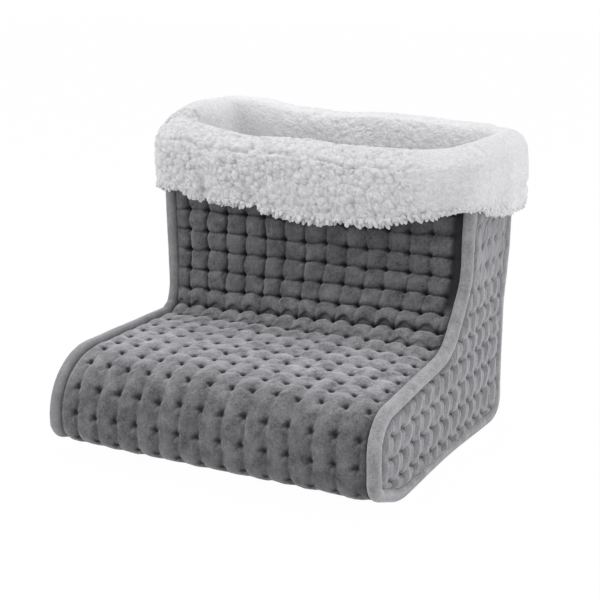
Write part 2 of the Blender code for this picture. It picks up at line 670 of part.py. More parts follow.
def add_pad(fleece, wire, fuse, sleeve):
    """Add the heating pad: carrier, cover, wire, cut-outs, sleeves and leads."""
    add_box("heater_carrier", (-PAD_HALF, PAD_FRONT_Y, CARRIER_Z),
            (PAD_HALF, PAD_BACK_Y, CARRIER_Z + FLEECE_THICKNESS), fleece)
    cover = add_box("heater_cover", (-PAD_HALF, PAD_FRONT_Y, PAD_CAVITY_Z),
                    (PAD_HALF, PAD_BACK_Y, COVER_Z + FLEECE_THICKNESS), fleece)
    inner_half = PAD_HALF - PAD_SKIRT_WIDTH
    pocket = add_box("heater_cover_pocket",
                     (-inner_half, PAD_FRONT_Y + PAD_SKIRT_WIDTH, PAD_CAVITY_Z - CUT_OVERRUN),
                     (inner_half, PAD_BACK_Y - PAD_SKIRT_WIDTH, COVER_Z))
    reach = LEAD_RADIUS + GAP
    notches = [add_box(f"heater_cover_notch_{word}",
                       (x - reach, PAD_BACK_Y - PAD_SKIRT_WIDTH - CUT_OVERRUN, PAD_CAVITY_Z - CUT_OVERRUN),
                       (x + reach, PAD_BACK_Y + CUT_OVERRUN, WIRE_Z + reach))
               for word, x in lead_places().items()]
    cut(cover, pocket, *notches)
    add_tube("heating_wire", wire_route(), WIRE_RADIUS, 1, wire)
    for word, x in (("left", LEFT_CUTOUT_X), ("right", RIGHT_CUTOUT_X)):
        add_cutout(word, x, fuse, sleeve)
    end = CUTOUT_LENGTH / 2 + GAP
    add_lead("live", LEFT_CUTOUT_X + end, wire)
    add_lead("neutral", RIGHT_CUTOUT_X - end, wire)


def add_cutout(word, x, fuse, sleeve):
    """Add a thermal cut-out and the open sleeve round it."""
    def block(name, length, width, height, material=None):
        return add_box(name, (x - length / 2, WIRE_LINE_Y - width / 2, WIRE_Z - height / 2),
                       (x + length / 2, WIRE_LINE_Y + width / 2, WIRE_Z + height / 2), material)

    block(f"thermal_cutout_{word}", CUTOUT_LENGTH, CUTOUT_WIDTH, CUTOUT_HEIGHT, fuse)
    tube = block(f"cutout_sleeve_{word}", SLEEVE_LENGTH, SLEEVE_WIDTH, SLEEVE_HEIGHT, sleeve)
    bore = block(f"cutout_sleeve_bore_{word}", SLEEVE_LENGTH + 2 * CUT_OVERRUN,
                 SLEEVE_WIDTH - 2 * SLEEVE_WALL, SLEEVE_HEIGHT - 2 * SLEEVE_WALL)
    cut(tube, bore)


def wire_route():
    """The heating wire: from the left cut-out along the back, in runs to the toe, to the right one."""
    room = PAD_HALF - PAD_SKIRT_WIDTH - WIRE_MARGIN
    runs = 2 * max(1, int(room / RUN_PITCH + 0.5))
    places = (np.arange(runs) - (runs - 1) / 2) * RUN_PITCH
    bend = RUN_PITCH / 2
    front_y = PAD_FRONT_Y + PAD_SKIRT_WIDTH + WIRE_MARGIN
    turn_y = WIRE_LINE_Y - WIRE_MARGIN
    end = CUTOUT_LENGTH / 2 + GAP
    corners = [(LEFT_CUTOUT_X - end, WIRE_LINE_Y), (places[0], WIRE_LINE_Y)]
    radii = [WIRE_BEND_RADIUS]
    for index in range(runs - 1):
        y = front_y if index % 2 == 0 else turn_y
        corners += [(places[index], y), (places[index + 1], y)]
        radii += [bend, bend]
    corners += [(places[-1], WIRE_LINE_Y), (RIGHT_CUTOUT_X + end, WIRE_LINE_Y)]
    radii.append(WIRE_BEND_RADIUS)
    points, _ = rounded_route(corners, radii, WIRE_ARC_STEPS)
    return without_doubles([(x, y, WIRE_Z) for x, y in points])


def without_doubles(points):
    """Drop each point that lies on the one before it."""
    kept = [points[0]]
    for point in points[1:]:
        if math.dist(point, kept[-1]) > GAP:
            kept.append(point)
    return kept


def add_lead(word, end_x, material):
    """Add a lead: down from its pin, round the heel and forward to its cut-out."""
    x = lead_places()[word]
    corners = [(x, LEAD_Y, INLET_HEIGHT - PIN_RADIUS - GAP), (x, LEAD_Y, WIRE_Z),
               (x, WIRE_LINE_Y, WIRE_Z), (end_x, WIRE_LINE_Y, WIRE_Z)]
    radii = [HEEL_RADIUS - WIRE_Z, WIRE_BEND_RADIUS]
    points, _ = rounded_route(corners, radii, WIRE_ARC_STEPS)
    add_tube(f"lead_{word}", without_doubles([tuple(point) for point in points]), LEAD_RADIUS, 1, material)


def inlet_window(name, width=WINDOW_WIDTH, height=WINDOW_TALL):
    """A cutter through the whole back, by default the size of the window that the housing fits."""
    return inlet_block(name, width, height, BACK_Y - LINER_IN, BACK_Y + BEZEL_THICKNESS + CUT_OVERRUN)


def rivet_holes(name):
    """Cutters for the two rivets."""
    radius = RIVET_RADIUS + GAP
    profile = [(radius, BACK_Y - LINER_IN), (radius, BACK_Y + BEZEL_THICKNESS + CUT_OVERRUN)]
    return [add_turned(f"{name}_{word}", profile, INLET_X + side * RIVET_X, INLET_HEIGHT)
            for side, word in ((-1, "left"), (1, "right"))]


def inlet_block(name, width, height, y_low, y_high, material=None):
    """A block on the inlet's centre line."""
    return add_box(name, (INLET_X - width / 2, y_low, INLET_HEIGHT - height / 2),
                   (INLET_X + width / 2, y_high, INLET_HEIGHT + height / 2), material)


def add_inlet(plastic, brass, steel, patch):
    """Add the inlet: bezel, housing, pins, backing plate, rivets and the patch inside."""
    bezel = inlet_block("inlet_bezel", BEZEL_WIDTH, BEZEL_TALL, BEZEL_Y, BEZEL_Y + BEZEL_THICKNESS, plastic)
    mouth = inlet_block("inlet_bezel_mouth", INLET_WIDTH - 2 * BEZEL_LIP, INLET_TALL - 2 * BEZEL_LIP,
                        BEZEL_Y - CUT_OVERRUN, BEZEL_Y + BEZEL_THICKNESS + CUT_OVERRUN)
    edge = bezel.modifiers.new("edge", "BEVEL")
    edge.width = BEZEL_EDGE
    edge.segments = 1
    cut(bezel, mouth, *rivet_holes("inlet_bezel_hole"))

    housing = inlet_block("inlet_housing", INLET_WIDTH, INLET_TALL, HOUSING_BACK_Y, BACK_Y, plastic)
    floor_y = HOUSING_BACK_Y + HOUSING_FLOOR
    recess = inlet_block("inlet_housing_recess", INLET_WIDTH - 2 * INLET_WALL, INLET_TALL - 2 * INLET_WALL,
                         floor_y, BACK_Y + CUT_OVERRUN)
    bore = [(PIN_RADIUS + GAP, HOUSING_BACK_Y - CUT_OVERRUN), (PIN_RADIUS + GAP, floor_y + CUT_OVERRUN)]
    bores = [add_turned(f"inlet_housing_bore_{word}", bore, x, INLET_HEIGHT)
             for word, x in lead_places().items()]
    cut(housing, recess, *bores)
    tip_y = BACK_Y - PIN_TIP_SETBACK
    pin = [(PIN_RADIUS, LEAD_Y - LEAD_RADIUS), (PIN_RADIUS, tip_y - PIN_RADIUS), (PIN_RADIUS / 2, tip_y)]
    for word, x in lead_places().items():
        add_turned(f"inlet_pin_{word}", pin, x, INLET_HEIGHT, brass)

    plate = inlet_block("inlet_backing_plate", BEZEL_WIDTH, BEZEL_TALL,
                        PLATE_Y - PLATE_THICKNESS, PLATE_Y, steel)
    cut(plate, inlet_window("inlet_backing_plate_window"), *rivet_holes("inlet_backing_plate_hole"))
    head_y = BEZEL_Y + BEZEL_THICKNESS + GAP
    tail_y = PLATE_Y - PLATE_THICKNESS - GAP
    for side, word in ((-1, "left"), (1, "right")):
        profile = [(RIVET_TAIL_RADIUS, tail_y - RIVET_TAIL_HEIGHT), (RIVET_TAIL_RADIUS, tail_y),
                   (RIVET_RADIUS, tail_y), (RIVET_RADIUS, head_y), (RIVET_HEAD_RADIUS, head_y),
                   (RIVET_HEAD_RADIUS, head_y + RIVET_HEAD_HEIGHT / 2),
                   (RIVET_HEAD_RADIUS / 2, head_y + RIVET_HEAD_HEIGHT)]
        add_turned(f"inlet_rivet_{word}", profile, INLET_X + side * RIVET_X, INLET_HEIGHT, steel)

    half = WINDOW_WIDTH / 2 + PATCH_MARGIN
    patch_y = BACK_Y - LINER_IN - GAP
    add_box("inlet_patch", (INLET_X - half, patch_y - PATCH_THICKNESS, HEEL_RADIUS),
            (INLET_X + half, patch_y, INLET_HEIGHT + WINDOW_TALL / 2 + PATCH_MARGIN), patch)


def main():
    """Build the whole foot warmer."""
    clear_objects()
    plush = make_material("grey_plush", (0.20, 0.20, 0.22), 0.95)
    trim = make_material("plush_binding", (0.27, 0.27, 0.29), 0.90)
    grip = make_material("non_slip_base", (0.06, 0.06, 0.065), 0.80)
    foam = make_material("foam_board", (0.75, 0.74, 0.70), 0.95)
    fleece = make_material("sherpa_fleece", (0.80, 0.80, 0.80), 0.98)
    felt = make_material("needle_felt", (0.62, 0.61, 0.58), 0.95)
    wire = make_material("wire_insulation", (0.70, 0.67, 0.60), 0.55)
    fuse = make_material("cutout_case", (0.12, 0.12, 0.12), 0.45)
    sleeve = make_material("shrink_sleeve", (0.55, 0.40, 0.12), 0.50)
    plastic = make_material("inlet_plastic", (0.03, 0.03, 0.032), 0.45)
    brass = make_material("contact_brass", (0.80, 0.62, 0.30), 0.30, 1.0)
    steel = make_material("plated_steel", (0.60, 0.60, 0.60), 0.35, 1.0)

    front, back = front_stations(), back_stations()
    add_shell(front, back, plush, trim, grip)
    add_boards(front, back, foam)
    add_lining(front, back, fleece)
    add_cuff(fleece)
    add_pad(felt, wire, fuse, sleeve)
    add_inlet(plastic, brass, steel, felt)


main()
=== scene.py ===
"""Looks of an electric foot warmer.

Tufted plush panels, a rolled plush binding, a turned-down sherpa cuff, the fleece lining and the hard
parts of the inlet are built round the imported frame, in metres, with the toe towards -y.
"""

import logging
import math
from dataclasses import dataclass, field
from enum import Enum
from typing import Dict, List, Optional, Sequence, Tuple, Union

import bmesh
import bpy
import numpy as np
from mathutils import Matrix, Vector


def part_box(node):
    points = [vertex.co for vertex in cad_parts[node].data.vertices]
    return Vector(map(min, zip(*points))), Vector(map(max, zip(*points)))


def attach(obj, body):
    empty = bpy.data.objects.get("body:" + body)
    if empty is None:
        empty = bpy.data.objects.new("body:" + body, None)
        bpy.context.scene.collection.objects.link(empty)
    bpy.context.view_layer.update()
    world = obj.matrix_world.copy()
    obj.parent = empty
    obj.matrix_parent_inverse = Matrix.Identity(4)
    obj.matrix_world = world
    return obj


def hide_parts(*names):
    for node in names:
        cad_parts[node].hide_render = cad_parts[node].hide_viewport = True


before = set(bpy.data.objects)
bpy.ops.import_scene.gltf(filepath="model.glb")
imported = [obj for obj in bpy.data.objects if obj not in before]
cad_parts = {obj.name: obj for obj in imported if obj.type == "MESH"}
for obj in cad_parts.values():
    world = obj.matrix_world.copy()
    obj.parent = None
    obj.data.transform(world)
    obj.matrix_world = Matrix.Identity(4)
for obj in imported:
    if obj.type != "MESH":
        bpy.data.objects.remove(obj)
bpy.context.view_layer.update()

BODY = "root"
LOG = logging.getLogger("foot_warmer")
MM = 0.001

Array = np.ndarray
Item = bpy.types.Object
Material = bpy.types.Material
Amount = Union[float, Array]
Pair = Tuple[Array, Array]
Triple = Tuple[float, float, float]
Sizes = Tuple[float, ...]
WHITE = (1.0, 1.0, 1.0, 1.0)


class Side(Enum):
    """The two sides of the bag, as the sign of x."""

    LEFT = -1
    RIGHT = 1

    @property
    def word(self) -> str:
        """The side's name in lower case."""
        return self.name.lower()


class Slot(Enum):
    """The record's material slots."""

    PLUSH = "plush"
    BINDING = "binding"
    BASE = "non_slip_base"
    SHERPA = "sherpa"
    FOAM = "foam"
    FELT = "felt"


# Numbers that vary smoothly or at random, as whole arrays


def smooth(share: Array) -> Array:
    """A share from 0 to 1 eased at both ends: 3 s^2 - 2 s^3."""
    share = np.clip(share, 0.0, 1.0)
    return share * share * (3.0 - 2.0 * share)


def ramp(value: Array, start: float, width: float) -> Array:
    """A share eased from 0 at a start to 1 a width further on, given in mm for a value in metres."""
    return smooth((value - start * MM) / (width * MM))


def bell(value: Array, middle: float, width: float) -> Array:
    """A hump e^(-((value - middle) / width)^2), given in mm for a value in metres."""
    return np.exp(-((value - middle * MM) / (width * MM)) ** 2)


def table_at(places: Array, stations: Sizes, values: Sizes) -> Array:
    """A table in mm read at places in metres, straight between its stations."""
    return np.interp(places, np.array(stations) * MM, np.array(values) * MM)


def lookup(table: Array, across: Array, along: Array) -> Array:
    """Read a table at real places, eased between its entries and repeated past its edges.

    Args:
        table: Values at whole places, with rows along and columns across.
        across: Places across, in columns.
        along: Places along, in rows.

    Returns:
        The values, shaped as the places.
    """
    rows, columns = table.shape
    i, j = np.floor(across).astype(int), np.floor(along).astype(int)
    s, t = smooth(across - i), smooth(along - j)
    i0, i1, j0, j1 = i % columns, (i + 1) % columns, j % rows, (j + 1) % rows
    low = table[j0, i0] * (1 - s) + table[j0, i1] * s
    high = table[j1, i0] * (1 - s) + table[j1, i1] * s
    return low * (1 - t) + high * t


def ripple(across: Array, along: Array, seed: int, size: int = 64) -> Array:
    """Random waves from -1 to 1, one unit long, which repeat after size units."""
    table = np.random.default_rng(seed).uniform(-1.0, 1.0, (size, size))
    return lookup(table, across, along)


def haze(places: Array, seed: int, size: int = 32) -> Array:
    """Random waves from -1 to 1 in space, one unit long: a table's eight nearest values, eased together.

    Args:
        places: Points in units, with x, y and z on the last axis.
        seed: Seed of the table.
        size: Units before the waves repeat.

    Returns:
        The waves' values at the points.
    """
    table = np.random.default_rng(seed).uniform(-1.0, 1.0, (size, size, size))
    whole = np.floor(places).astype(int)
    share = smooth(places - whole)
    total = np.zeros(places.shape[:-1])
    for corner in np.ndindex(2, 2, 2):
        weight = np.prod(np.where(corner, share, 1.0 - share), axis=-1)
        total += weight * table[tuple(np.moveaxis((whole + corner) % size, -1, 0))]
    return total


def curls(places: Array, seed: int, size: int = 32) -> Pair:
    """Packed curls in space, one to each cell of a jittered grid.

    A curl's height is sqrt(1 - (F1 / r)^2), with F1 the distance to the nearest middle, and a crevice is
    deepest where the two nearest middles are as far away.

    Args:
        places: Points in cells, with x, y and z on the last axis.
        seed: Seed of the middles.
        size: Cells before the pattern repeats.

    Returns:
        Heights from 0 to 1, and how far each point is from a crevice, in cells.
    """
    draws = np.random.default_rng(seed).uniform(0.0, 1.0, (size, size, size, 3))
    whole = np.floor(places).astype(int)
    first = np.full(places.shape[:-1], 9.0)
    second = first.copy()
    for offset in np.ndindex(3, 3, 3):
        cell = whole + offset - 1
        middle = cell + draws[tuple(np.moveaxis(cell % size, -1, 0))]
        distance = np.linalg.norm(places - middle, axis=-1)
        second = np.minimum(second, np.maximum(first, distance))
        first = np.minimum(first, distance)
    return np.sqrt(np.clip(1.0 - (first / 0.95) ** 2, 0.0, 1.0)), second - first


# Curves


def unit_rows(vectors: Array) -> Array:
    """Each vector along the last axis at length one."""
    return vectors / np.maximum(np.linalg.norm(vectors, axis=-1, keepdims=True), 1e-12)


def rounded_line(corners: Sequence[Triple], step: float) -> Array:
    """Points along straight runs whose inner corners are rounded, evenly spaced.

    Args:
        corners: Corners as (first, second, radius), where the end corners' radii are not used.
        step: Spacing of the points.

    Returns:
        Points as an array of pairs.
    """
    places = [np.array(corner[:2], dtype=float) for corner in corners]
    pieces: List[Array] = [places[0][None]]
    for before, corner, after, (_, _, radius) in zip(places, places[1:], places[2:], corners[1:]):
        entry, leave = unit_rows(corner - before), unit_rows(after - corner)
        turn = math.acos(float(np.clip(entry @ leave, -1.0, 1.0)))
        inward = unit_rows(leave - (leave @ entry) * entry)
        centre = corner - entry * radius * math.tan(turn / 2) + inward * radius
        angles = np.linspace(0.0, turn, 25)[:, None]
        pieces.append(centre - inward * radius * np.cos(angles) + entry * radius * np.sin(angles))
    pieces.append(places[-1][None])
    points = np.concatenate(pieces)
    return resampled(points, max(2, round(lengths_along(points)[-1] / step) + 1))


def lengths_along(points: Array) -> Array:
    """Distance along a line to each of its points."""
    return np.concatenate([[0.0], np.cumsum(np.linalg.norm(np.diff(points, axis=0), axis=1))])


def read_line(points: Array, distances: Array) -> Array:
    """Places on a line at distances along it."""
    along = lengths_along(points)
    return np.stack([np.interp(distances, along, column) for column in points.T], axis=-1)


def resampled(points: Array, count: int) -> Array:
    """A line with a given number of evenly spaced points."""
    return read_line(points, np.linspace(0.0, lengths_along(points)[-1], count))


def gradient_rows(points: Array) -> Array:
    """Unit tangents along a line of points."""
    return unit_rows(np.gradient(points, axis=0))


def outward_of(line: Array) -> Array:
    """Normals of a (y, z) line from the front rim round the bag: its tangents turned away from the bag."""
    normal = gradient_rows(line)[:, ::-1] * [1.0, -1.0]
    return -normal if normal[0, 0] > 0 else normal


def spaced(start: float, end: float, step: float) -> Array:
    """Evenly spaced numbers from a start to an end, about a step apart."""
    return np.linspace(start, end, max(2, round(abs(end - start) / step)))


# Meshes


def sunk_rim(x: Array, y: Array) -> Array:
    """How far the rim's right back corner sank, at places on the plan."""
    return 5.0 * MM * ramp(x, 40, 90) * ramp(y, 20, 80)


def settled(points: Array) -> Array:
    """Places after the stuffed bag settled.

    Under the cuff its right back corner sank in, by up to 9 mm forwards and 3 mm inwards; the same corner
    of the rim sank by up to 5 mm.

    Args:
        points: Places, with x, y and z on the last axis.

    Returns:
        The moved places.
    """
    x, y, z = (points[..., axis] for axis in range(3))
    share = ramp(x, 84, 52) * ramp(y, 15, 95) * ramp(z, 5, 28) * (1.0 - ramp(z, 183, 14))
    grown = 0.55 + 0.45 * ramp(z, 95, 70)
    down = sunk_rim(x, y) * ramp(z, 195, 50)
    return points - np.stack([3.0 * MM * share * grown, 9.0 * MM * share * grown, down], axis=-1)


def linked(name: str, data: bpy.types.ID) -> Item:
    """Make an object and link it to the scene.

    Args:
        name: The object's name.
        data: Its mesh, lamp or camera.

    Returns:
        The object.
    """
    item = bpy.data.objects.new(name, data)
    bpy.context.scene.collection.objects.link(item)
    return item


def put_mesh(name: str, points: Array, faces: Sequence[Array], tone: Optional[Array] = None,
             sinks: bool = True) -> Item:
    """Make an object from points and faces, with its faces turned outwards.

    Args:
        name: The object's name.
        points: Corners, one row each.
        faces: Arrays of faces, each array holding faces of one number of corners.
        tone: Optional share of each point for the material, mostly painted shade with some random tone, kept as
            the attribute relief_shade.
        sinks: Whether it takes part in the bag's settling.

    Returns:
        The linked object, smooth shaded.
    """
    points = settled(points) if sinks else points
    faces = [np.atleast_2d(np.asarray(group, dtype=np.int64)) for group in faces if len(group)]
    if sum(fan_volume(points, group) for group in faces) < 0:
        faces = [group[:, ::-1] for group in faces]
    loops = np.concatenate([group.ravel() for group in faces]).astype(np.int32)
    totals = np.concatenate([np.full(len(group), group.shape[1]) for group in faces]).astype(np.int32)
    mesh = bpy.data.meshes.new(name)
    mesh.vertices.add(len(points))
    mesh.vertices.foreach_set("co", points.astype(np.float32).ravel())
    mesh.loops.add(len(loops))
    mesh.loops.foreach_set("vertex_index", loops)
    mesh.polygons.add(len(totals))
    mesh.polygons.foreach_set("loop_start", (np.cumsum(totals) - totals).astype(np.int32))
    mesh.update(calc_edges=True)
    mesh.validate()
    mesh.shade_smooth()
    # The tone, mostly painted shade, is kept on the points for the material.
    if tone is not None:
        relief_shade = mesh.attributes.new("relief_shade", "FLOAT", "POINT")
        relief_shade.data.foreach_set("value", tone.astype(np.float32).ravel())
    return linked(name, mesh)


def fan_volume(points: Array, faces: Array) -> float:
    """Signed volume under faces, each split into a fan of triangles: a sixth of their triple products."""
    first, second, third = points[faces[:, :1]], points[faces[:, 1:-1]], points[faces[:, 2:]]
    return float((first * np.cross(second, third)).sum()) / 6.0


def grid_faces(indices: Array, wrap_rows: bool = False, wrap_columns: bool = False) -> Array:
    """Four-cornered faces over a grid of point numbers.

    Args:
        indices: The point numbers, rows x columns.
        wrap_rows: Whether the last row joins the first.
        wrap_columns: Whether the last column joins the first.

    Returns:
        The faces, one row each.
    """
    if wrap_rows:
        indices = np.concatenate([indices, indices[:1]], axis=0)
    if wrap_columns:
        indices = np.concatenate([indices, indices[:, :1]], axis=1)
    corners = [indices[:-1, :-1], indices[:-1, 1:], indices[1:, 1:], indices[1:, :-1]]
    return np.stack(corners, axis=-1).reshape(-1, 4)


def tube_faces(rings: int, sides: int, count: int = 1) -> List[Array]:
    """Faces of closed tubes whose points follow each other ring by ring.

    Args:
        rings: Rings of each tube.
        sides: Points round a ring.
        count: How many tubes.

    Returns:
        The walls, the first ends and the last ends.
    """
    numbers = np.arange(rings * sides).reshape(rings, sides)
    starts = np.arange(count) * rings * sides
    walls = starts[:, None, None] + grid_faces(numbers, wrap_columns=True)[None]
    return [walls.reshape(-1, 4), starts[:, None] + numbers[0][::-1][None], starts[:, None] + numbers[-1][None]]


def grid_normals(points: Array, wraps: bool = False) -> Array:
    """Unit normals of a grid of points: the cross product of its two tangents.

    Args:
        points: The grid, rows x columns x 3.
        wraps: Whether it closes on itself both ways.

    Returns:
        The normals, shaped as the grid.
    """
    if wraps:
        tangents = [np.roll(points, -1, axis=axis) - np.roll(points, 1, axis=axis) for axis in (0, 1)]
    else:
        tangents = [np.gradient(points, axis=axis) for axis in (0, 1)]
    return unit_rows(np.cross(*tangents))


def layers_under(place: Array, near: float, far: float) -> Pair:
    """Two grids under a face, each its points less its normals times a depth."""
    normal = grid_normals(place)
    return place - normal * near, place - normal * far


@dataclass
class Window:
    """A hole through a slab, in columns and rows of its outer grid."""

    first_column: int
    last_column: int
    first_row: int
    last_row: int

    @property
    def back_columns(self) -> List[int]:
        """The columns that the slab's back keeps: its edges and the hole's sides."""
        return [0, self.first_column, self.last_column, -1]


def inlet_window(x: Array, z: Array, margin: float) -> Window:
    """Move the columns and rows of a grid that are nearest to the inlet's hole onto its sides.

    Args:
        x: The columns' places, changed in place.
        z: The rows' heights, changed in place.
        margin: Room round the inlet's housing.

    Returns:
        The hole.
    """
    low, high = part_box("inlet_housing")
    numbers: List[int] = []
    for values, ends in ((x, (low.x - margin, high.x + margin)), (z, (low.z - margin, high.z + margin))):
        nearest = [int(np.argmin(np.abs(values - end))) for end in ends]
        values[nearest] = ends
        numbers += nearest
    return Window(*numbers)


def put_slab(name: str, outer: Array, inner: Array, tone: Optional[Array] = None,
             window: Optional[Window] = None) -> Item:
    """Make a closed padded strip: a fine outer grid over a plain back.

    Args:
        name: The object's name.
        outer: Outer face, shaped rows x columns x 3.
        inner: Back face, rows x 2 x 3, or rows x 4 x 3 where a window is cut.
        tone: Optional painted shade of each outer point, a share for the material.
        window: Optional hole, whose sides are the back's two middle columns.

    Returns:
        The linked object.
    """
    rows, columns = outer.shape[:2]
    top = np.arange(rows * columns).reshape(rows, columns)
    back = rows * columns + np.arange(rows * inner.shape[1]).reshape(rows, -1)
    quads, under = grid_faces(top), grid_faces(back)[:, ::-1]
    ends = [np.concatenate([top[j], back[j][::-1]])[::flip][None] for j, flip in ((0, 1), (rows - 1, -1))]
    sides = [np.stack([back[:-1, 0], top[:-1, 0], top[1:, 0], back[1:, 0]], axis=-1),
             np.stack([top[:-1, -1], back[:-1, -1], back[1:, -1], top[1:, -1]], axis=-1)]
    if window is not None:
        a, b, c, d = window.first_column, window.last_column, window.first_row, window.last_row
        cell_row, cell_column = np.divmod(np.arange(len(quads)), columns - 1)
        quads = quads[~((cell_row >= c) & (cell_row < d) & (cell_column >= a) & (cell_column < b))]
        cell_row, cell_column = np.divmod(np.arange(len(under)), inner.shape[1] - 1)
        under = under[~((cell_row >= c) & (cell_row < d) & (cell_column == 1))]
        sides.append(np.stack([top[c:d, a], back[c:d, 1], back[c + 1:d + 1, 1], top[c + 1:d + 1, a]], axis=-1))
        sides.append(np.stack([back[c:d, 2], top[c:d, b], top[c + 1:d + 1, b], back[c + 1:d + 1, 2]], axis=-1))
        ends += [np.concatenate([top[j, a:b + 1], back[j, 1:3][::-1]])[::flip][None]
                 for j, flip in ((c, -1), (d, 1))]
    points = np.concatenate([outer.reshape(-1, 3), inner.reshape(-1, 3)])
    if tone is not None:
        tone = np.concatenate([tone.ravel(), np.zeros(inner.shape[0] * inner.shape[1])])
    return put_mesh(name, points, [np.concatenate([quads, under, *sides]), *ends], tone)


def put_shell(name: str, outer: Array, inner: Array, tone: Optional[Array] = None) -> Item:
    """Make a closed sheet from two grids of the same size, joined round their edges.

    Args:
        name: The object's name.
        outer: One face, rows x columns x 3.
        inner: The other face.
        tone: Optional painted shade of each grid point, a share for the material.

    Returns:
        The linked object.
    """
    rows, columns = outer.shape[:2]
    top = np.arange(rows * columns).reshape(rows, columns)
    under = top + rows * columns
    border = np.concatenate([top[0], top[1:, -1], top[-1, -2::-1], top[-2:0:-1, 0]])
    after = np.roll(border, -1)
    walls = np.stack([border, after, after + rows * columns, border + rows * columns], axis=1)[:, ::-1]
    points = np.concatenate([outer.reshape(-1, 3), inner.reshape(-1, 3)])
    tones = None if tone is None else np.concatenate([tone.ravel(), tone.ravel()])
    return put_mesh(name, points, [np.concatenate([grid_faces(top), grid_faces(under)[:, ::-1], walls])], tones)


def finish_piece(item: Item, material: Material, slot: Slot, *nodes: str,
                 fill: Optional[float] = None) -> Item:
    """Give a piece its material and its body, and report it.

    Args:
        item: The piece.
        material: Its finish.
        slot: Not used.
        *nodes: The frame's nodes that it replaces.
        fill: Not used.

    Returns:
        The piece.
    """
    item.data.materials.clear()
    item.data.materials.append(material)
    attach(item, BODY)
    if nodes:
        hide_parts(*nodes)
    LOG.info("%s: %d faces", item.name, len(item.data.polygons))
    return item


# Materials


class Socket:
    """An output in a node tree; arithmetic on numbers adds Math nodes."""

    def __init__(self, nodes: "NodeTree", link: bpy.types.NodeSocket) -> None:
        """Wrap an output of a node."""
        self.nodes = nodes
        self.link = link

    def _math(self, operation: str, first: object, second: object, clamp: bool = False) -> "Socket":
        """One Math node of two values."""
        return self.nodes.node("ShaderNodeMath", {"operation": operation, "use_clamp": clamp},
                               {0: first, 1: second})

    def __add__(self, other: object) -> "Socket":
        """The sum."""
        return self._math("ADD", self, other)

    def __sub__(self, other: object) -> "Socket":
        """The difference."""
        return self._math("SUBTRACT", self, other)

    def __rsub__(self, other: object) -> "Socket":
        """The difference, the other way round."""
        return self._math("SUBTRACT", other, self)

    def __mul__(self, other: object) -> "Socket":
        """The product."""
        return self._math("MULTIPLY", self, other)

    def clipped(self) -> "Socket":
        """The value held between 0 and 1."""
        return self._math("ADD", self, 0.0, clamp=True)

    def either(self, other: "Socket") -> "Socket":
        """The greater of two values."""
        return self._math("MAXIMUM", self, other)

    __radd__ = __add__
    __rmul__ = __mul__


class NodeTree:
    """The nodes of a material or a world under construction."""

    def __init__(self, tree: bpy.types.NodeTree, output: str) -> None:
        """Take a tree and the name of its output node."""
        self.tree = tree
        self.output = output

    def node(self, kind: str, settings: Optional[Dict[str, object]] = None,
             inputs: Optional[Dict[object, object]] = None, output: object = 0) -> Socket:
        """Add any node.

        Args:
            kind: The node's type.
            settings: Its properties, set first.
            inputs: Its sockets by name or number, each a value or a Socket.
            output: The output to return, by name or number.

        Returns:
            The output as a Socket.
        """
        made = self.tree.nodes.new(kind)
        for name, value in (settings or {}).items():
            setattr(made, name, value)
        for key, value in (inputs or {}).items():
            self.feed(made.inputs[key], value)
        return Socket(self, made.outputs[output])

    def feed(self, socket: bpy.types.NodeSocket, value: object) -> None:
        """Link a Socket to a node's input, or set the input to a value.

        Args:
            socket: The input.
            value: The Socket or the value.
        """
        if isinstance(value, Socket):
            self.tree.links.new(value.link, socket)
        else:
            socket.default_value = value

    def show_mix(self, share: Socket, first: Socket, second: Socket) -> None:
        """Show one shader where a share is 0 and another where it is 1."""
        mixed = self.node("ShaderNodeMixShader", {}, {0: share, 1: first, 2: second})
        self.tree.links.new(mixed.link, self.tree.nodes[self.output].inputs["Surface"])


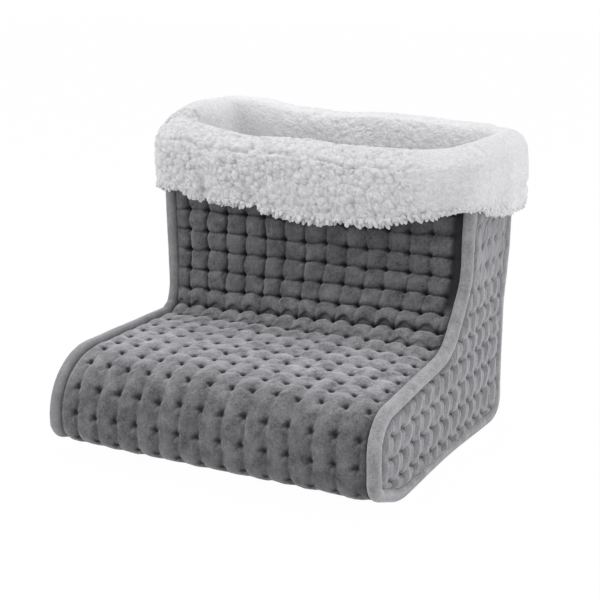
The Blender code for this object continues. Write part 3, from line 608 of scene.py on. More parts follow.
class Shader(NodeTree):
    """A Principled material under construction."""

    def __init__(self, name: str) -> None:
        """Start a material of this name."""
        self.material = bpy.data.materials.new(name)
        self.material.use_nodes = True
        super().__init__(self.material.node_tree, "Material Output")
        self.surface = self.tree.nodes["Principled BSDF"]

    def shine(self) -> Socket:
        """The surface's own shader."""
        return Socket(self, self.surface.outputs[0])

    def place(self) -> Socket:
        """Object coordinates, in metres."""
        return self.node("ShaderNodeTexCoord", output="Object")

    def noise(self, size: float, detail: float = 2.0, roughness: float = 0.5,
              stretch: Triple = (1.0, 1.0, 1.0)) -> Socket:
        """Noise from 0 to 1 whose lumps are about the given size in metres."""
        spot = self.node("ShaderNodeMapping", {}, {"Vector": self.place(), "Scale": stretch})
        return self.node("ShaderNodeTexNoise", {"noise_dimensions": "3D"},
                         {"Vector": spot, "Scale": 1.0 / size, "Detail": detail, "Roughness": roughness})

    def cells(self, size: float) -> Socket:
        """Distance to the nearest of scattered points about the given size apart."""
        return self.node("ShaderNodeTexVoronoi", {"feature": "F1"},
                         {"Vector": self.place(), "Scale": 1.0 / size}, "Distance")

    def attribute(self, name: str) -> Socket:
        """A value kept on the mesh's points."""
        return self.node("ShaderNodeAttribute", {"attribute_name": name}, output="Fac")

    def blend(self, share: Socket, low: Triple, high: Triple) -> Socket:
        """A colour between two, by a share from 0 to 1."""
        return self.node("ShaderNodeMix", {"data_type": "RGBA"},
                         {0: share, 6: (*low, 1.0), 7: (*high, 1.0)}, 2)

    def bump(self, height: Socket, depth: float, strength: float = 1.0,
             under: Optional[Socket] = None) -> Socket:
        """A bumped normal from heights from 0 to 1 over a depth in metres, on another bump's if given."""
        below = {} if under is None else {"Normal": under}
        return self.node("ShaderNodeBump", {},
                         {"Height": height, "Distance": depth, "Strength": strength, **below})

    def over_dull(self, colour: Triple, share: Socket) -> Material:
        """Show a dull colour without sheen where a share is 0, and the surface where it is 1."""
        dull = self.node("ShaderNodeBsdfDiffuse", {}, {"Color": (*colour, 1.0)})
        self.show_mix(share, dull, self.shine())
        return self.material

    def done(self, **sockets: object) -> Material:
        """Set the surface's sockets.

        Args:
            **sockets: Values or Sockets by the inputs' names, with underscores for spaces.

        Returns:
            The material.
        """
        for name, value in sockets.items():
            self.feed(self.surface.inputs[name.replace("_", " ")], value)
        return self.material


@dataclass(frozen=True)
class Plush:
    """Short-pile plush: soft patches where the nap lies over, fibre grain, painted shade in the pits and a sheen.

    Its tone is the mottle's share of (1.5 nap + 0.5 brushed + 1.4 grain - 1.7), plus 0.58, times the
    painted shade kept on the mesh, so the pits go dark, and the darkest of them lose their sheen.
    """

    name: str
    dark: Triple
    light: Triple
    patch: float = 0.012
    grain: float = 0.0016
    mottle: float = 1.0
    sheen: float = 1.0
    sheen_roughness: float = 0.40
    sheen_tint: Triple = (0.86, 0.86, 0.90)
    pit_shade: float = 0.35

    def make(self) -> Material:
        """Build the material.

        Returns:
            The new material.
        """
        shader = Shader(self.name)
        nap = shader.noise(self.patch, 3.0, 0.55)
        brushed = shader.noise(self.patch / 4, 2.0, 0.5, (1.0, 1.0, 0.5))
        grain = shader.noise(self.grain, 2.0, 0.7)
        relief_shade = shader.attribute("relief_shade")
        tone = (nap * 1.5 + brushed * 0.5 + grain * 1.4 - 1.7) * self.mottle + 0.58
        # Painted shade: the tone darkens with the shade share kept on the mesh, in the pits and creases.
        colour = shader.blend((tone * relief_shade).clipped(), self.dark, self.light)
        soft = shader.bump(brushed, 0.0006, 0.35)
        normal = shader.bump(grain, 0.0006, 0.6, soft)
        shader.done(Base_Color=colour, Roughness=0.80 + grain * 0.2, Normal=normal, Specular_IOR_Level=0.15,
                    Sheen_Weight=self.sheen, Sheen_Roughness=self.sheen_roughness,
                    Sheen_Tint=(*self.sheen_tint, 1.0))
        # Painted shade: the darkest pits show a dull dark colour without sheen.
        deep_shade = tuple(channel * self.pit_shade for channel in self.dark)
        return shader.over_dull(deep_shade, (relief_shade * 3.2 - 0.1).clipped())


@dataclass(frozen=True)
class Sherpa:
    """Curly fleece pile: off-white, with painted shade down between the curls."""

    name: str
    deep_shade: Triple
    tip: Triple
    curl: float = 0.0022
    fibre: float = 0.0014

    def make(self) -> Material:
        """Build the material.

        Returns:
            The new material.
        """
        shader = Shader(self.name)
        relief_shade = shader.attribute("relief_shade")
        curl = shader.cells(self.curl)
        fibre = shader.noise(self.fibre, 3.0, 0.65)
        # Painted shade: darker where the mesh's shade share is low and towards each curl's edge.
        share = (relief_shade * 0.85 + fibre * 0.5 - curl * 0.2 - 0.1).clipped()
        colour = shader.blend(share, self.deep_shade, self.tip)
        rounded = shader.bump(1 - curl, 0.0010, 0.5)
        normal = shader.bump(fibre, 0.0007, 0.6, rounded)
        return shader.done(Base_Color=colour, Roughness=0.85 + fibre * 0.12, Normal=normal,
                           Specular_IOR_Level=0.1, Sheen_Weight=0.35, Sheen_Roughness=0.6)


@dataclass(frozen=True)
class Cloth:
    """A felt, a foam or a coated cloth: two tones mixed by noise, with a matching bump."""

    name: str
    dark: Triple
    light: Triple
    lump: float
    roughness: float = 0.9
    depth: float = 0.0003
    pores: bool = False

    def make(self) -> Material:
        """Build the material.

        Returns:
            The new material.
        """
        shader = Shader(self.name)
        lumps = shader.noise(self.lump, 3.0, 0.6)
        fine = shader.cells(self.lump / 2) if self.pores else shader.noise(self.lump / 4, 2.0, 0.6)
        share = (lumps * 0.7 + fine * 0.6 - 0.15).clipped()
        normal = shader.bump(fine, self.depth, 0.6, shader.bump(lumps, self.depth * 2, 0.4))
        return shader.done(Base_Color=shader.blend(share, self.dark, self.light),
                           Roughness=self.roughness - 0.1 + lumps * 0.2, Normal=normal,
                           Specular_IOR_Level=0.25)


@dataclass(frozen=True)
class Solid:
    """A moulded plastic or a metal: faint mottling, fine grain and rubbed patches in its gloss."""

    name: str
    colour: Triple
    roughness: float
    metallic: float = 0.0
    grain: float = 0.0004
    depth: float = 0.00003
    cloud: float = 0.006
    cloud_share: float = 0.82

    def make(self) -> Material:
        """Build the material.

        Returns:
            The new material.
        """
        shader = Shader(self.name)
        cloudy = shader.noise(self.cloud, 3.0, 0.6)
        grain = shader.noise(self.grain, 2.0, 0.5)
        dark = tuple(channel * self.cloud_share for channel in self.colour)
        return shader.done(Base_Color=shader.blend(cloudy, dark, self.colour), Metallic=self.metallic,
                           Roughness=(cloudy * 0.22 + grain * 0.1 + (self.roughness - 0.16)).clipped(),
                           Normal=shader.bump(grain, self.depth, 0.5))


class Palette:
    """Every finish of the object."""

    def __init__(self) -> None:
        """Build the materials."""
        grey = (0.050, 0.050, 0.054), (0.470, 0.470, 0.492)
        self.plush = Plush("plush", *grey).make()
        self.smooth_plush = Plush("plush_side", *grey, mottle=0.45).make()
        self.binding = Plush("plush_binding", (0.190, 0.190, 0.199), (0.440, 0.440, 0.458)).make()
        self.sherpa = Sherpa("sherpa", (0.46, 0.46, 0.48), (0.88, 0.88, 0.90)).make()
        self.base = Cloth("base_cloth", (0.030, 0.030, 0.034), (0.065, 0.065, 0.070), 0.0012).make()
        self.dots = Cloth("grip_dots", (0.020, 0.020, 0.022), (0.035, 0.035, 0.038), 0.003, 0.55, 0.0001).make()
        self.foam = Cloth("foam", (0.62, 0.61, 0.56), (0.80, 0.79, 0.74), 0.0016, pores=True).make()
        self.felt = Cloth("felt", (0.46, 0.45, 0.42), (0.66, 0.65, 0.62), 0.0025).make()
        self.plastic = Solid("inlet_plastic", (0.035, 0.035, 0.038), 0.48).make()
        self.brass = Solid("contact_brass", (0.78, 0.58, 0.27), 0.30, 1.0).make()
        self.steel = Solid("plated_steel", (0.62, 0.62, 0.63), 0.34, 1.0).make()
        self.wire = Solid("wire_insulation", (0.62, 0.58, 0.50), 0.55, grain=0.0008).make()
        self.fuse = Solid("cutout_case", (0.10, 0.10, 0.105), 0.42).make()
        self.sleeve = Solid("shrink_sleeve", (0.42, 0.30, 0.09), 0.42).make()


# The bag's seams, seen from the side


@dataclass(frozen=True)
class SeamLine:
    """One side's front line from the rim over the instep and round the toe, as (y, z) places."""

    shaft_y: float
    fold_height: float
    fold_y: float
    fold_floor: float
    fold_radius: float
    foot_radius: float
    toe_y: float
    toe_height: float
    toe_radius: float
    sole_y: float
    sole_radius: float
    lift: float
    lift_y: float
    end_y: float

    def rise(self, y: Array) -> Array:
        """How far the sole is off the floor at places along y: a straight ramp in front of lift_y."""
        return np.clip((self.lift_y - y) / (self.lift_y - self.sole_y), 0.0, None) * self.lift

    def corners(self, rim: float, floor: float) -> List[Triple]:
        """Corners and radii from a rim height down to a height over the sole."""
        return [(self.shaft_y, rim, 0.0), (self.shaft_y, self.fold_height, self.fold_radius),
                (self.fold_y, self.fold_floor, self.foot_radius),
                (self.toe_y, self.toe_height, self.toe_radius),
                (self.sole_y, self.lift + floor, self.sole_radius - floor)]

    def points(self, rim: float, step: float) -> Array:
        """Evenly spaced points from the rim to the end of the toe's underside."""
        return rounded_line([*self.corners(rim, 0.0), (self.end_y, float(self.rise(self.end_y)), 0.0)], step)


@dataclass
class Pattern:
    """The bag's sizes: those that the frame gives, and the seam lines that the sewn cloth took."""

    quilt_thickness: float = 4.5 * MM
    quilt_crown: float = 3.0 * MM
    binding_inset: float = 1.0 * MM
    slimness: Tuple[float, float] = (1.8 * MM, 1.1 * MM)
    heel_radius: float = 27.0 * MM
    flare_start: float = 108.0 * MM
    flare_end: float = 158.0 * MM
    flare_radius: float = 60.0 * MM
    half_width: float = field(init=False)
    binding_radius: float = field(init=False)
    shaft_y: float = field(init=False)
    nose_y: float = field(init=False)
    back_y: float = field(init=False)
    back_top_y: float = field(init=False)
    base_front_y: float = field(init=False)
    base_back_y: float = field(init=False)
    rim_front: float = field(init=False)
    rim_back: float = field(init=False)
    seams: Dict[Side, SeamLine] = field(init=False)

    def __post_init__(self) -> None:
        """Read the frame's boxes and set the two seam lines."""
        low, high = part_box("binding_right")
        self.half_width = (low.x + high.x) / 2
        self.binding_radius = (high.x - low.x) / 2
        front_low, front_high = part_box("front_panel")
        self.shaft_y = front_high.y - self.quilt_thickness
        self.nose_y = front_low.y + self.quilt_crown
        self.rim_front = front_high.z
        back_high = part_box("back_panel")[1]
        self.back_top_y = back_high.y - self.quilt_crown
        self.rim_back = back_high.z
        base_low, base_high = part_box("base_panel")
        self.base_front_y, self.base_back_y = base_low.y, base_high.y
        self.back_y = base_high.y + self.heel_radius
        mid, nose = self.shaft_y, self.nose_y
        self.seams = {
            Side.LEFT: SeamLine(
                shaft_y=mid - 3.5 * MM, fold_height=90.5 * MM, fold_y=mid - 14 * MM, fold_floor=83 * MM,
                fold_radius=8 * MM, foot_radius=9 * MM, toe_y=nose - 5 * MM, toe_height=81.5 * MM,
                toe_radius=49 * MM, sole_y=nose - 1 * MM, sole_radius=18 * MM, lift=14 * MM,
                lift_y=-100 * MM, end_y=self.base_front_y),
            Side.RIGHT: SeamLine(
                shaft_y=mid + 4.6 * MM, fold_height=148 * MM, fold_y=mid - 37 * MM, fold_floor=92.6 * MM,
                fold_radius=40 * MM, foot_radius=45 * MM, toe_y=nose + 4.2 * MM, toe_height=78 * MM,
                toe_radius=27 * MM, sole_y=nose + 6.6 * MM, sole_radius=17 * MM, lift=16 * MM,
                lift_y=-100 * MM, end_y=self.base_front_y)}

    def slim(self, side: Side) -> float:
        """How much thinner than its nominal radius a binding was rolled."""
        return self.slimness[0 if side is Side.LEFT else 1]

    def quilt_edge(self, side: Side) -> float:
        """Half width at which a strip's pile meets a binding's inner side."""
        return self.half_width - self.binding_radius + 2.0 * self.slim(side)

    def binding_line(self, side: Side, step: float) -> Array:
        """The middle line of a binding.

        Args:
            side: Which side.
            step: Spacing of the points.

        Returns:
            Places (y, z) from the front rim under the bag to the back rim.
        """
        floor = self.binding_radius - self.binding_inset
        corners = [*self.seams[side].corners(self.rim_front, floor),
                   (self.seams[side].lift_y, floor, 60 * MM), *self.back_corners(floor, self.rim_back)]
        points = rounded_line(corners, step)
        return points - outward_of(points) * (self.binding_inset - self.slim(side))

    def lift(self, x: Array, y: Array) -> Array:
        """How far the toe's end of the sole is off the floor, blended between the two sides."""
        left, right = (self.seams[side].rise(y) for side in Side)
        return left + (right - left) * ((x / self.half_width + 1.0) / 2.0)

    def over_sole(self, x: Array, y: Array, height: Amount) -> Array:
        """Points at heights over the sole, raised where the toe is lifted."""
        return np.stack([x, y, height + self.lift(x, y)], axis=-1)

    def strip_x(self, tuck: float, step: float) -> Array:
        """Places across a quilted strip that is tucked under both bindings."""
        left, right = (self.quilt_edge(side) for side in Side)
        return np.linspace(-left - tuck, right + tuck, round(2 * left / step) + 1)

    def strip_inset(self, x: Array) -> Array:
        """How far places across a strip lie inside the nearer binding."""
        left, right = (self.quilt_edge(side) for side in Side)
        return np.minimum(left + x, right - x)

    def quilted(self, place: Array, height: Array, columns: Sequence[int]) -> Pair:
        """The two faces of a quilted strip, kept off the floor.

        Args:
            place: Its nominal face, rows x columns x 3.
            height: Heights over it, along its normals.
            columns: The columns that the plain back keeps.

        Returns:
            The outer grid and the back's.
        """
        normal = grid_normals(place)
        outer = place + normal * height[..., None]
        outer[..., 2] = np.maximum(outer[..., 2], 0.0)
        return outer, (place - normal * self.quilt_thickness)[:, list(columns)]

    def side_outline(self, side: Side, inset: float, rim_drop: float) -> Array:
        """Closed outline of a side panel, a distance inside its binding's middle.

        Args:
            side: Which side.
            inset: Distance inside the binding's middle line.
            rim_drop: How far the rim stays under its nominal height.

        Returns:
            Points (y, z) from the front rim round the toe, the sole and the back, and along the rim.
        """
        line = self.binding_line(side, 2.0 * MM)
        outline = line - outward_of(line) * inset
        outline[:, 1] = np.minimum(outline[:, 1], self.rim_back - rim_drop)
        rim = np.array([(self.back_top_y - 25 * MM, self.rim_back - rim_drop),
                        (self.shaft_y + 25 * MM, self.rim_front - rim_drop)])
        return np.concatenate([outline, rim])

    def back_corners(self, floor: float, rim: float) -> List[Triple]:
        """Corners and radii of the back from a floor height up to a rim height."""
        return [(self.back_y, floor, self.heel_radius), (self.back_y, self.flare_start, self.flare_radius),
                (self.back_top_y, self.flare_end, self.flare_radius), (self.back_top_y, rim, 0.0)]


@dataclass
class Piece:
    """A sub-assembly: the bag's sizes, and the finishes that its pieces are made with."""

    pattern: Pattern
    palette: Palette


# Tufted plush


@dataclass(frozen=True)
class Tufting:
    """A field of tufts: pillows between creases, a pit at each tuft, and puckers round the pits."""

    pitch_across: float
    pitch_along: float
    pit: float = 2.2 * MM
    pit_radius: float = 2.9 * MM
    groove: float = 0.7 * MM
    groove_width: float = 0.8 * MM
    wander: float = 0.05
    bow: float = 0.05
    seed: int = 1

    def height(self, across: Array, along: Array, crown: Amount, columns: Amount, rows: Amount,
               soft: Amount = 0.6, offset: Amount = 0.0, skew: Amount = 0.0, row_skew: Amount = 0.0,
               bow: Amount = 0.0, arch: Amount = 0.0, leaf: Amount = 0.0, lines: Amount = 0.4,
               row_lines: Amount = 0.4, smudge: Amount = 0.0, fan: Amount = 0.0,
               sunk: Amount = 1.0) -> Pair:
        """Heights over the nominal face.

        A pillow's height is crown (1 - c (1 - sin(pi a^k)^p)) (1 - r (1 - sin(pi b^l)^p)), where a and b
        are places across and along in a pitch, c and r the depths of the column and row creases, p how
        soft a pillow's edge is, and k and l how far it leans. A narrow groove lies in each crease and a
        round pit at each tuft, with fine folds that spread from it. An arch is a wrinkle over each row
        crease, from tuft to tuft; a leaf is a hollow that hangs beside each column crease.

        Args:
            across: Places across, in pitches, whole at the tufts.
            along: Places along, in pitches, whole at the tufts.
            crown: Height of the pillows.
            columns: Depth of the creases between columns, from 0 to 1.
            rows: Depth of the creases between rows, from 0 to 1.
            soft: Power of the pillows' profile: low for boxy, high for soft ones.
            offset: How far the column creases run beside the tufts, in pitches.
            skew: How much steeper a pillow's near flank is than its far one, from 0.
            row_skew: The same along the columns.
            bow: How far the row creases bow back between the tufts, in pitches.
            arch: Share of the arched wrinkles.
            leaf: Depth of the leaf-shaped hollows.
            lines: Share of the crisp line along the column creases.
            row_lines: Share of the crisp line along the row creases.
            smudge: Darkness of the painted shade before each pit, across.
            fan: Darkness of the painted shade before each pit, along.
            sunk: Share of the pits' depth and darkness.

        Returns:
            Heights in metres, and painted shade: a share from 0 in the pits and creases to 1 on the pillows.
        """
        draw = np.random.default_rng(self.seed)
        tables = draw.uniform(-1.0, 1.0, (7, 40, 40))
        spins = draw.uniform(0.0, 6.0, (40, 40))
        a = across + self.wander * lookup(tables[0], across, along)
        b = along + self.wander * lookup(tables[1], across, along)
        bows = self.bow * lookup(tables[2], across, along + 0.5)
        fold = a - offset - bows * np.sin(math.pi * b) ** 2
        waves = 0.07 * lookup(tables[3], across + 0.5, along) - bow
        level = b - waves * np.sin(math.pi * a) ** 2
        share, part = fold - np.floor(fold), level - np.floor(level)

        swell = 1.0 + 0.17 * lookup(tables[4], across + 0.5, along + 0.5)
        va = np.sin(math.pi * share ** (1.0 - skew)) ** soft
        vb = np.sin(math.pi * part ** (1.0 - row_skew)) ** soft
        body = swell * (1.0 - columns * (1.0 - va)) * (1.0 - rows * (1.0 - vb))
        crisp = 0.6 + 0.4 * lookup(tables[5], across * 1.9, along * 1.9)
        grooves = crisp * (lines * self.crease(share, self.pitch_across)
                           + row_lines * self.crease(part, self.pitch_along))

        arch = arch * (0.65 + 0.35 * lookup(tables[6], np.floor(fold) * 1.7, np.floor(level) * 1.3))
        cap = (part - 1.0 + 0.32 * np.sin(math.pi * share) ** 1.4) * self.pitch_along
        wrinkle = np.exp(-np.abs(cap) / (0.9 * MM))
        drop = arch * (1.5 * MM * ramp(cap, 0, 1.6) + 1.0 * MM * wrinkle)
        slack = 1.0 + 0.14 * lookup(tables[6], np.floor(fold), np.floor(level))
        hollow, brink, leaf_shade = self.leaves(fold, part, slack, leaf)

        du, dv = (a - np.rint(a)) * self.pitch_across, (b - np.rint(b)) * self.pitch_along
        radius = np.hypot(du, dv)
        pit = np.exp(-(radius / self.pit_radius) ** 2)
        core = np.exp(-(radius / (0.55 * self.pit_radius)) ** 2)
        spin = lookup(spins, np.rint(a), np.rint(b))
        pucker = np.cos(5.0 * np.arctan2(dv, du) + spin) * np.exp(-radius / (4.5 * MM))
        pucker = pucker * (ramp(radius, 0, 3.0) * 0.45 * MM)
        height = crown * body - self.groove * np.minimum(grooves, 1.2) - self.pit * sunk * pit + pucker
        height = height - drop - leaf * hollow + 0.1 * leaf * brink

        # Painted shade: darker before each pit, across and along.
        pit_shadows = smudge * np.exp(-((du + 2.8 * MM) / (3.8 * MM)) ** 2 - ((dv + 0.5 * MM) / (1.7 * MM)) ** 2)
        pit_shadows = pit_shadows + fan * np.exp(-((du + 0.5 * MM) / (3.0 * MM)) ** 2
                                         - ((dv + 2.2 * MM) / (2.2 * MM)) ** 2)
        # Painted shade in the pits, low on the pillows, along the grooves, under the arched wrinkles and in each
        # leaf, and a painted highlight along each leaf's brink.
        shade = (1.0 - 0.9 * sunk * core) * (1.0 - 0.40 * sunk * pit) * (1.0 - pit_shadows)
        shade = shade * np.clip(0.55 + 0.45 * body, 0.0, 1.0)
        shade = shade * (1.0 - 0.85 * np.minimum(grooves, 1.0)) * (1.0 - 0.7 * arch * wrinkle)
        shade = shade * (1.0 - leaf_shade) ** 1.6 * (1.0 + 0.08 * brink)
        return height, np.clip(shade, 0.0, 1.0)

    def crease(self, share: Array, pitch: float) -> Array:
        """A crisp line along the creases: e^(-gap / width), by the places' share of a pitch."""
        return np.exp(-np.minimum(share, 1.0 - share) * pitch / self.groove_width)

    def leaves(self, fold: Array, part: Array, slack: Array, leaf: Amount) -> Tuple[Array, Array, Array]:
        """The leaf-shaped hollow that hangs from each tuft.

        Down a leaf, a share called fall goes from 0 to 1, and across it u goes from 0 to 1. The leaf bows
        sideways by 0.22 sin(pi fall^0.85) and narrows as it falls. It is deepest along its near edge, and
        a painted highlight lies along a brink past its far edge.

        Args:
            fold: Places across, in pitches, whole at the column creases.
            part: Places along, in a pitch.
            slack: How wide each leaf is.
            leaf: Depth of the leaves.

        Returns:
            Shares of the depth, of the brink, and of the painted shade in the leaf's dark upper part.
        """
        fall = np.clip((1.0 - part) / 0.92, 0.0, 1.0)
        leant = fold - 0.22 * np.sin(math.pi * fall ** 0.85)
        u = (leant - np.floor(leant)) / ((0.66 - 0.24 * fall) * slack)
        within_leaf = smooth(u / (0.14 + 0.25 * fall)) * (1.0 - smooth((u - 0.78) / 0.22))
        within_leaf = within_leaf * smooth((1.0 - part) / 0.07) * (1.0 - smooth((fall - 0.7) / 0.3))
        near = np.clip(1.0 - u, 0.0, 1.0)
        hollow = within_leaf * near ** 0.7 * (1.0 - 0.5 * fall)
        # The brink carries a painted highlight.
        brink = np.exp(-((u - 1.02) / 0.12) ** 2) * np.sin(math.pi * fall) * (leaf > 0)
        # Painted shade in the leaf's dark upper part, near the pit.
        leaf_shade = within_leaf * near ** 1.3 * (1.0 - fall) ** 0.9 * np.clip(leaf / (2.4 * MM), 0.0, 1.0)
        return hollow, brink, leaf_shade


def edge_fade(height: Array, inset: Array, floor: float = -1.6 * MM, reach: float = 3.5 * MM) -> Array:
    """Heights that sink to a floor towards a sewn edge: floor + (height - floor)(1 - e^(-inset/reach))."""
    return floor + (height - floor) * (1.0 - np.exp(-np.clip(inset, 0.0, None) / reach))


def stitched(height: Array, inset: Array) -> Array:
    """Heights pulled in by half a millimetre along the stitches, 3.2 mm inside a sewn edge."""
    return height - 0.5 * MM * bell(inset, 3.2, 0.6)


def from_edge(inset: Array) -> Array:
    """A share that grows from 0 at a sewn edge to 1 at 8 mm inside it."""
    return np.clip(inset / (8 * MM), 0.0, 1.0)


def slope_shaded(shade: Array, height: Array, step: float, down: float, right: float) -> Array:
    """Painted light and shade by slope: shade (1 + down dh/ds + right dh/dt), slopes cut at 0.6."""
    falls, rises = (np.clip(slope, -0.6, 0.6) for slope in np.gradient(height, step))
    return np.clip(shade * (1.0 + down * falls + right * rises), 0.0, 1.0)


def front_grades() -> Dict[str, Sizes]:
    """How the front strip's quilting changes along it: Tufting.height's arguments, and its painted sheen and
    shade.
    """
    return {
        "crown": (3.2, 3.4, 5.4, 4.8, 4.6, 4.4, 4.0, 1.6),
        "columns": (0.38, 0.42, 0.40, 0.24, 0.22, 0.32, 0.42, 0.48),
        "rows": (0.50, 0.58, 0.80, 0.34, 0.22, 0.14, 0.05, 0.0),
        "soft": (0.38, 0.40, 0.70, 1.25, 1.6, 1.45, 1.0, 0.85),
        "offset": (0.02, 0.02, 0.0, 0.0, 0.01, 0.05, 0.09, 0.10),
        "skew": (0.18, 0.18, 0.10, 0.0, 0.0, 0.08, 0.14, 0.16),
        "row_skew": (0.30, 0.30, 0.35, 0.28, 0.20, 0.08, 0.0, 0.0),
        "bow": (0.0, 0.0, 0.10, 0.06, 0.0, 0.0, 0.0, 0.0),
        "lines": (0.30, 0.30, 0.25, 0.0, 0.0, 0.05, 0.12, 0.12),
        "row_lines": (0.90, 0.90, 0.7, 0.15, 0.0, 0.0, 0.0, 0.0),
        "smudge": (0.28, 0.28, 0.2, 0.0, 0.0, 0.15, 0.24, 0.24),
        "fan": (0.0, 0.0, 0.25, 0.50, 0.50, 0.25, 0.0, 0.0),
        "sunk": (1.0, 1.0, 1.0, 1.0, 0.95, 0.80, 0.68, 0.72),
        "lie": (0.34, 0.36, 0.54, 0.93, 1.0, 0.68, 0.40, 0.37)}


@dataclass
class FrontPanel(Piece):
    """The front strip: shaft, instep and toe in one piece of quilted plush."""

    column_pitch: float = 19.9 * MM
    row_pitch: float = 18.6 * MM
    first_column: float = -125.4 * MM
    rim_row: float = -2.213
    shaft_row: float = 2.0
    shaft_row_height: float = 163.4 * MM
    toe_row: float = 14.0
    toe_row_y: float = -125.4 * MM
    sole_row: float = 17.0
    sole_row_height: float = 17.0 * MM
    last_row: float = 18.5
    instep_row: float = 5.2
    length: float = 380.0 * MM
    step: float = 0.85 * MM
    tuck: float = 4.0 * MM
    grade_rows: Sizes = (-1.2, 4.4, 5.6, 8.0, 11.0, 13.0, 15.0, 17.5)
    grades: Dict[str, Sizes] = field(default_factory=front_grades)
    arch_rows: Sizes = (5.0, 5.3, 6.6, 8.2)
    arches: Sizes = (0.0, 1.0, 0.8, 0.0)

    def line(self, side: Side, rows: Array) -> Array:
        """Places of rows on one side's seam line, by equal lengths between the rows that are set.

        Args:
            side: Which side.
            rows: The rows.

        Returns:
            Places (y, z).
        """
        points = self.pattern.seams[side].points(self.pattern.rim_front, 0.5 * MM)
        along = lengths_along(points)
        down_shaft = np.interp(-self.shaft_row_height, -points[:, 1], along)
        over_toe = along[np.argmax(points[:, 0] < self.toe_row_y)]
        past_nose = along[len(points) - 1 - np.argmax(points[::-1, 1] > self.sole_row_height)]
        distances = np.interp(rows, [self.rim_row, self.shaft_row, self.toe_row, self.sole_row, self.last_row],
                              [0.0, down_shaft, over_toe, past_nose, along[-1]])
        return read_line(points, distances)

    def row_at(self, height: float) -> float:
        """The row at a height on the shaft."""
        share = (self.pattern.rim_front - height) / (self.pattern.rim_front - self.shaft_row_height)
        return self.rim_row + share * (self.shaft_row - self.rim_row)

    def base(self, x: Array, rows: Array) -> Array:
        """Nominal face: the two seam lines blended across the width, half straight and half eased.

        Args:
            x: Places across.
            rows: The rows, shaped as the places.

        Returns:
            The points, rows x columns x 3.
        """
        share = (x / self.pattern.half_width + 1.0) / 2.0
        share = 0.5 * smooth(share) + 0.5 * share
        left, right = self.line(Side.LEFT, rows.ravel()), self.line(Side.RIGHT, rows.ravel())
        place = left + (right - left) * share.ravel()[:, None]
        return np.concatenate([x.reshape(-1, 1), place], axis=1).reshape(*x.shape, 3)

    def layers(self, half: float, first: float, step: float, near: float, far: float) -> Pair:
        """A layer's outer and inner grids, at two depths, out to half its width and down from its first row."""
        rows = np.linspace(first, self.last_row, round(self.length / step))
        return layers_under(self.base(*np.meshgrid(spaced(-half, half, step), rows)), near, far)

    def quilting(self, x: Array, rows: Array) -> Pair:
        """The quilting, whose kind changes along the strip.

        It is boxy on the shaft, with deeper creases towards the left, has arched wrinkles where it turns
        onto the instep, and is soft from there to the toe. A gully runs down the shaft's right edge.

        Args:
            x: Places across.
            rows: The rows, shaped as the places.

        Returns:
            Heights over the nominal face, and painted shade and sheen: a share from 0 in the dark to 1 in the
            light.
        """
        across = (x - self.first_column) / self.column_pitch
        tufts = Tufting(self.column_pitch, self.row_pitch, pit=2.7 * MM, pit_radius=2.4 * MM, bow=0.08, seed=11)
        grade = {name: np.interp(rows, self.grade_rows, values) for name, values in self.grades.items()}
        lie = grade.pop("lie")
        grade["crown"] = grade["crown"] * MM
        left, shaft = ramp(x, 60, -120), smooth(self.instep_row - rows)
        for name, change in (("columns", 0.35), ("rows", -0.20), ("lines", 0.45)):
            grade[name] = grade[name] + change * left * shaft
        height, shade = tufts.height(across, rows, arch=np.interp(rows, self.arch_rows, self.arches), **grade)
        inset = self.pattern.strip_inset(x)
        height = edge_fade(height, inset)
        gully = shaft * smooth((9.0 * MM + x - self.pattern.quilt_edge(Side.RIGHT)) / (3.0 * MM))
        height = height + (-2.5 * MM - height) * 0.85 * gully
        # Painted light and shade: by slope, a painted sheen and shade factor along the strip, dark on the shaft
        # and toe and light on the instep, and darker in the gully and along the sewn edges.
        shade = slope_shaded(shade, height, self.step, 0.75, 0.35)
        shade = (shade + (0.8 - shade) * 0.8 * gully) * lie * (1.0 - 0.45 * gully)
        shade = shade * (1.0 - 0.55 * np.exp(-np.abs(inset) / (1.1 * MM)))
        waves = 0.45 * ripple(across * 2.3, rows * 2.1, 5) + 0.15 * ripple(across * 6, rows * 6, 6)
        return stitched(height, inset) + waves * MM * from_edge(inset), shade

    def build(self) -> None:
        """Make the panel from the plush."""
        arc = lengths_along(self.line(Side.LEFT, np.linspace(self.rim_row, self.last_row, 200)))[-1]
        x, rows = np.meshgrid(self.pattern.strip_x(self.tuck, self.step),
                              np.linspace(self.rim_row, self.last_row, round(arc / self.step) + 1))
        height, shade = self.quilting(x, rows)
        outer, inner = self.pattern.quilted(self.base(x, rows), height, (0, -1))
        finish_piece(put_slab("front_quilt", outer, inner, shade), self.palette.plush, Slot.PLUSH,
                     "front_panel", fill=0.7)


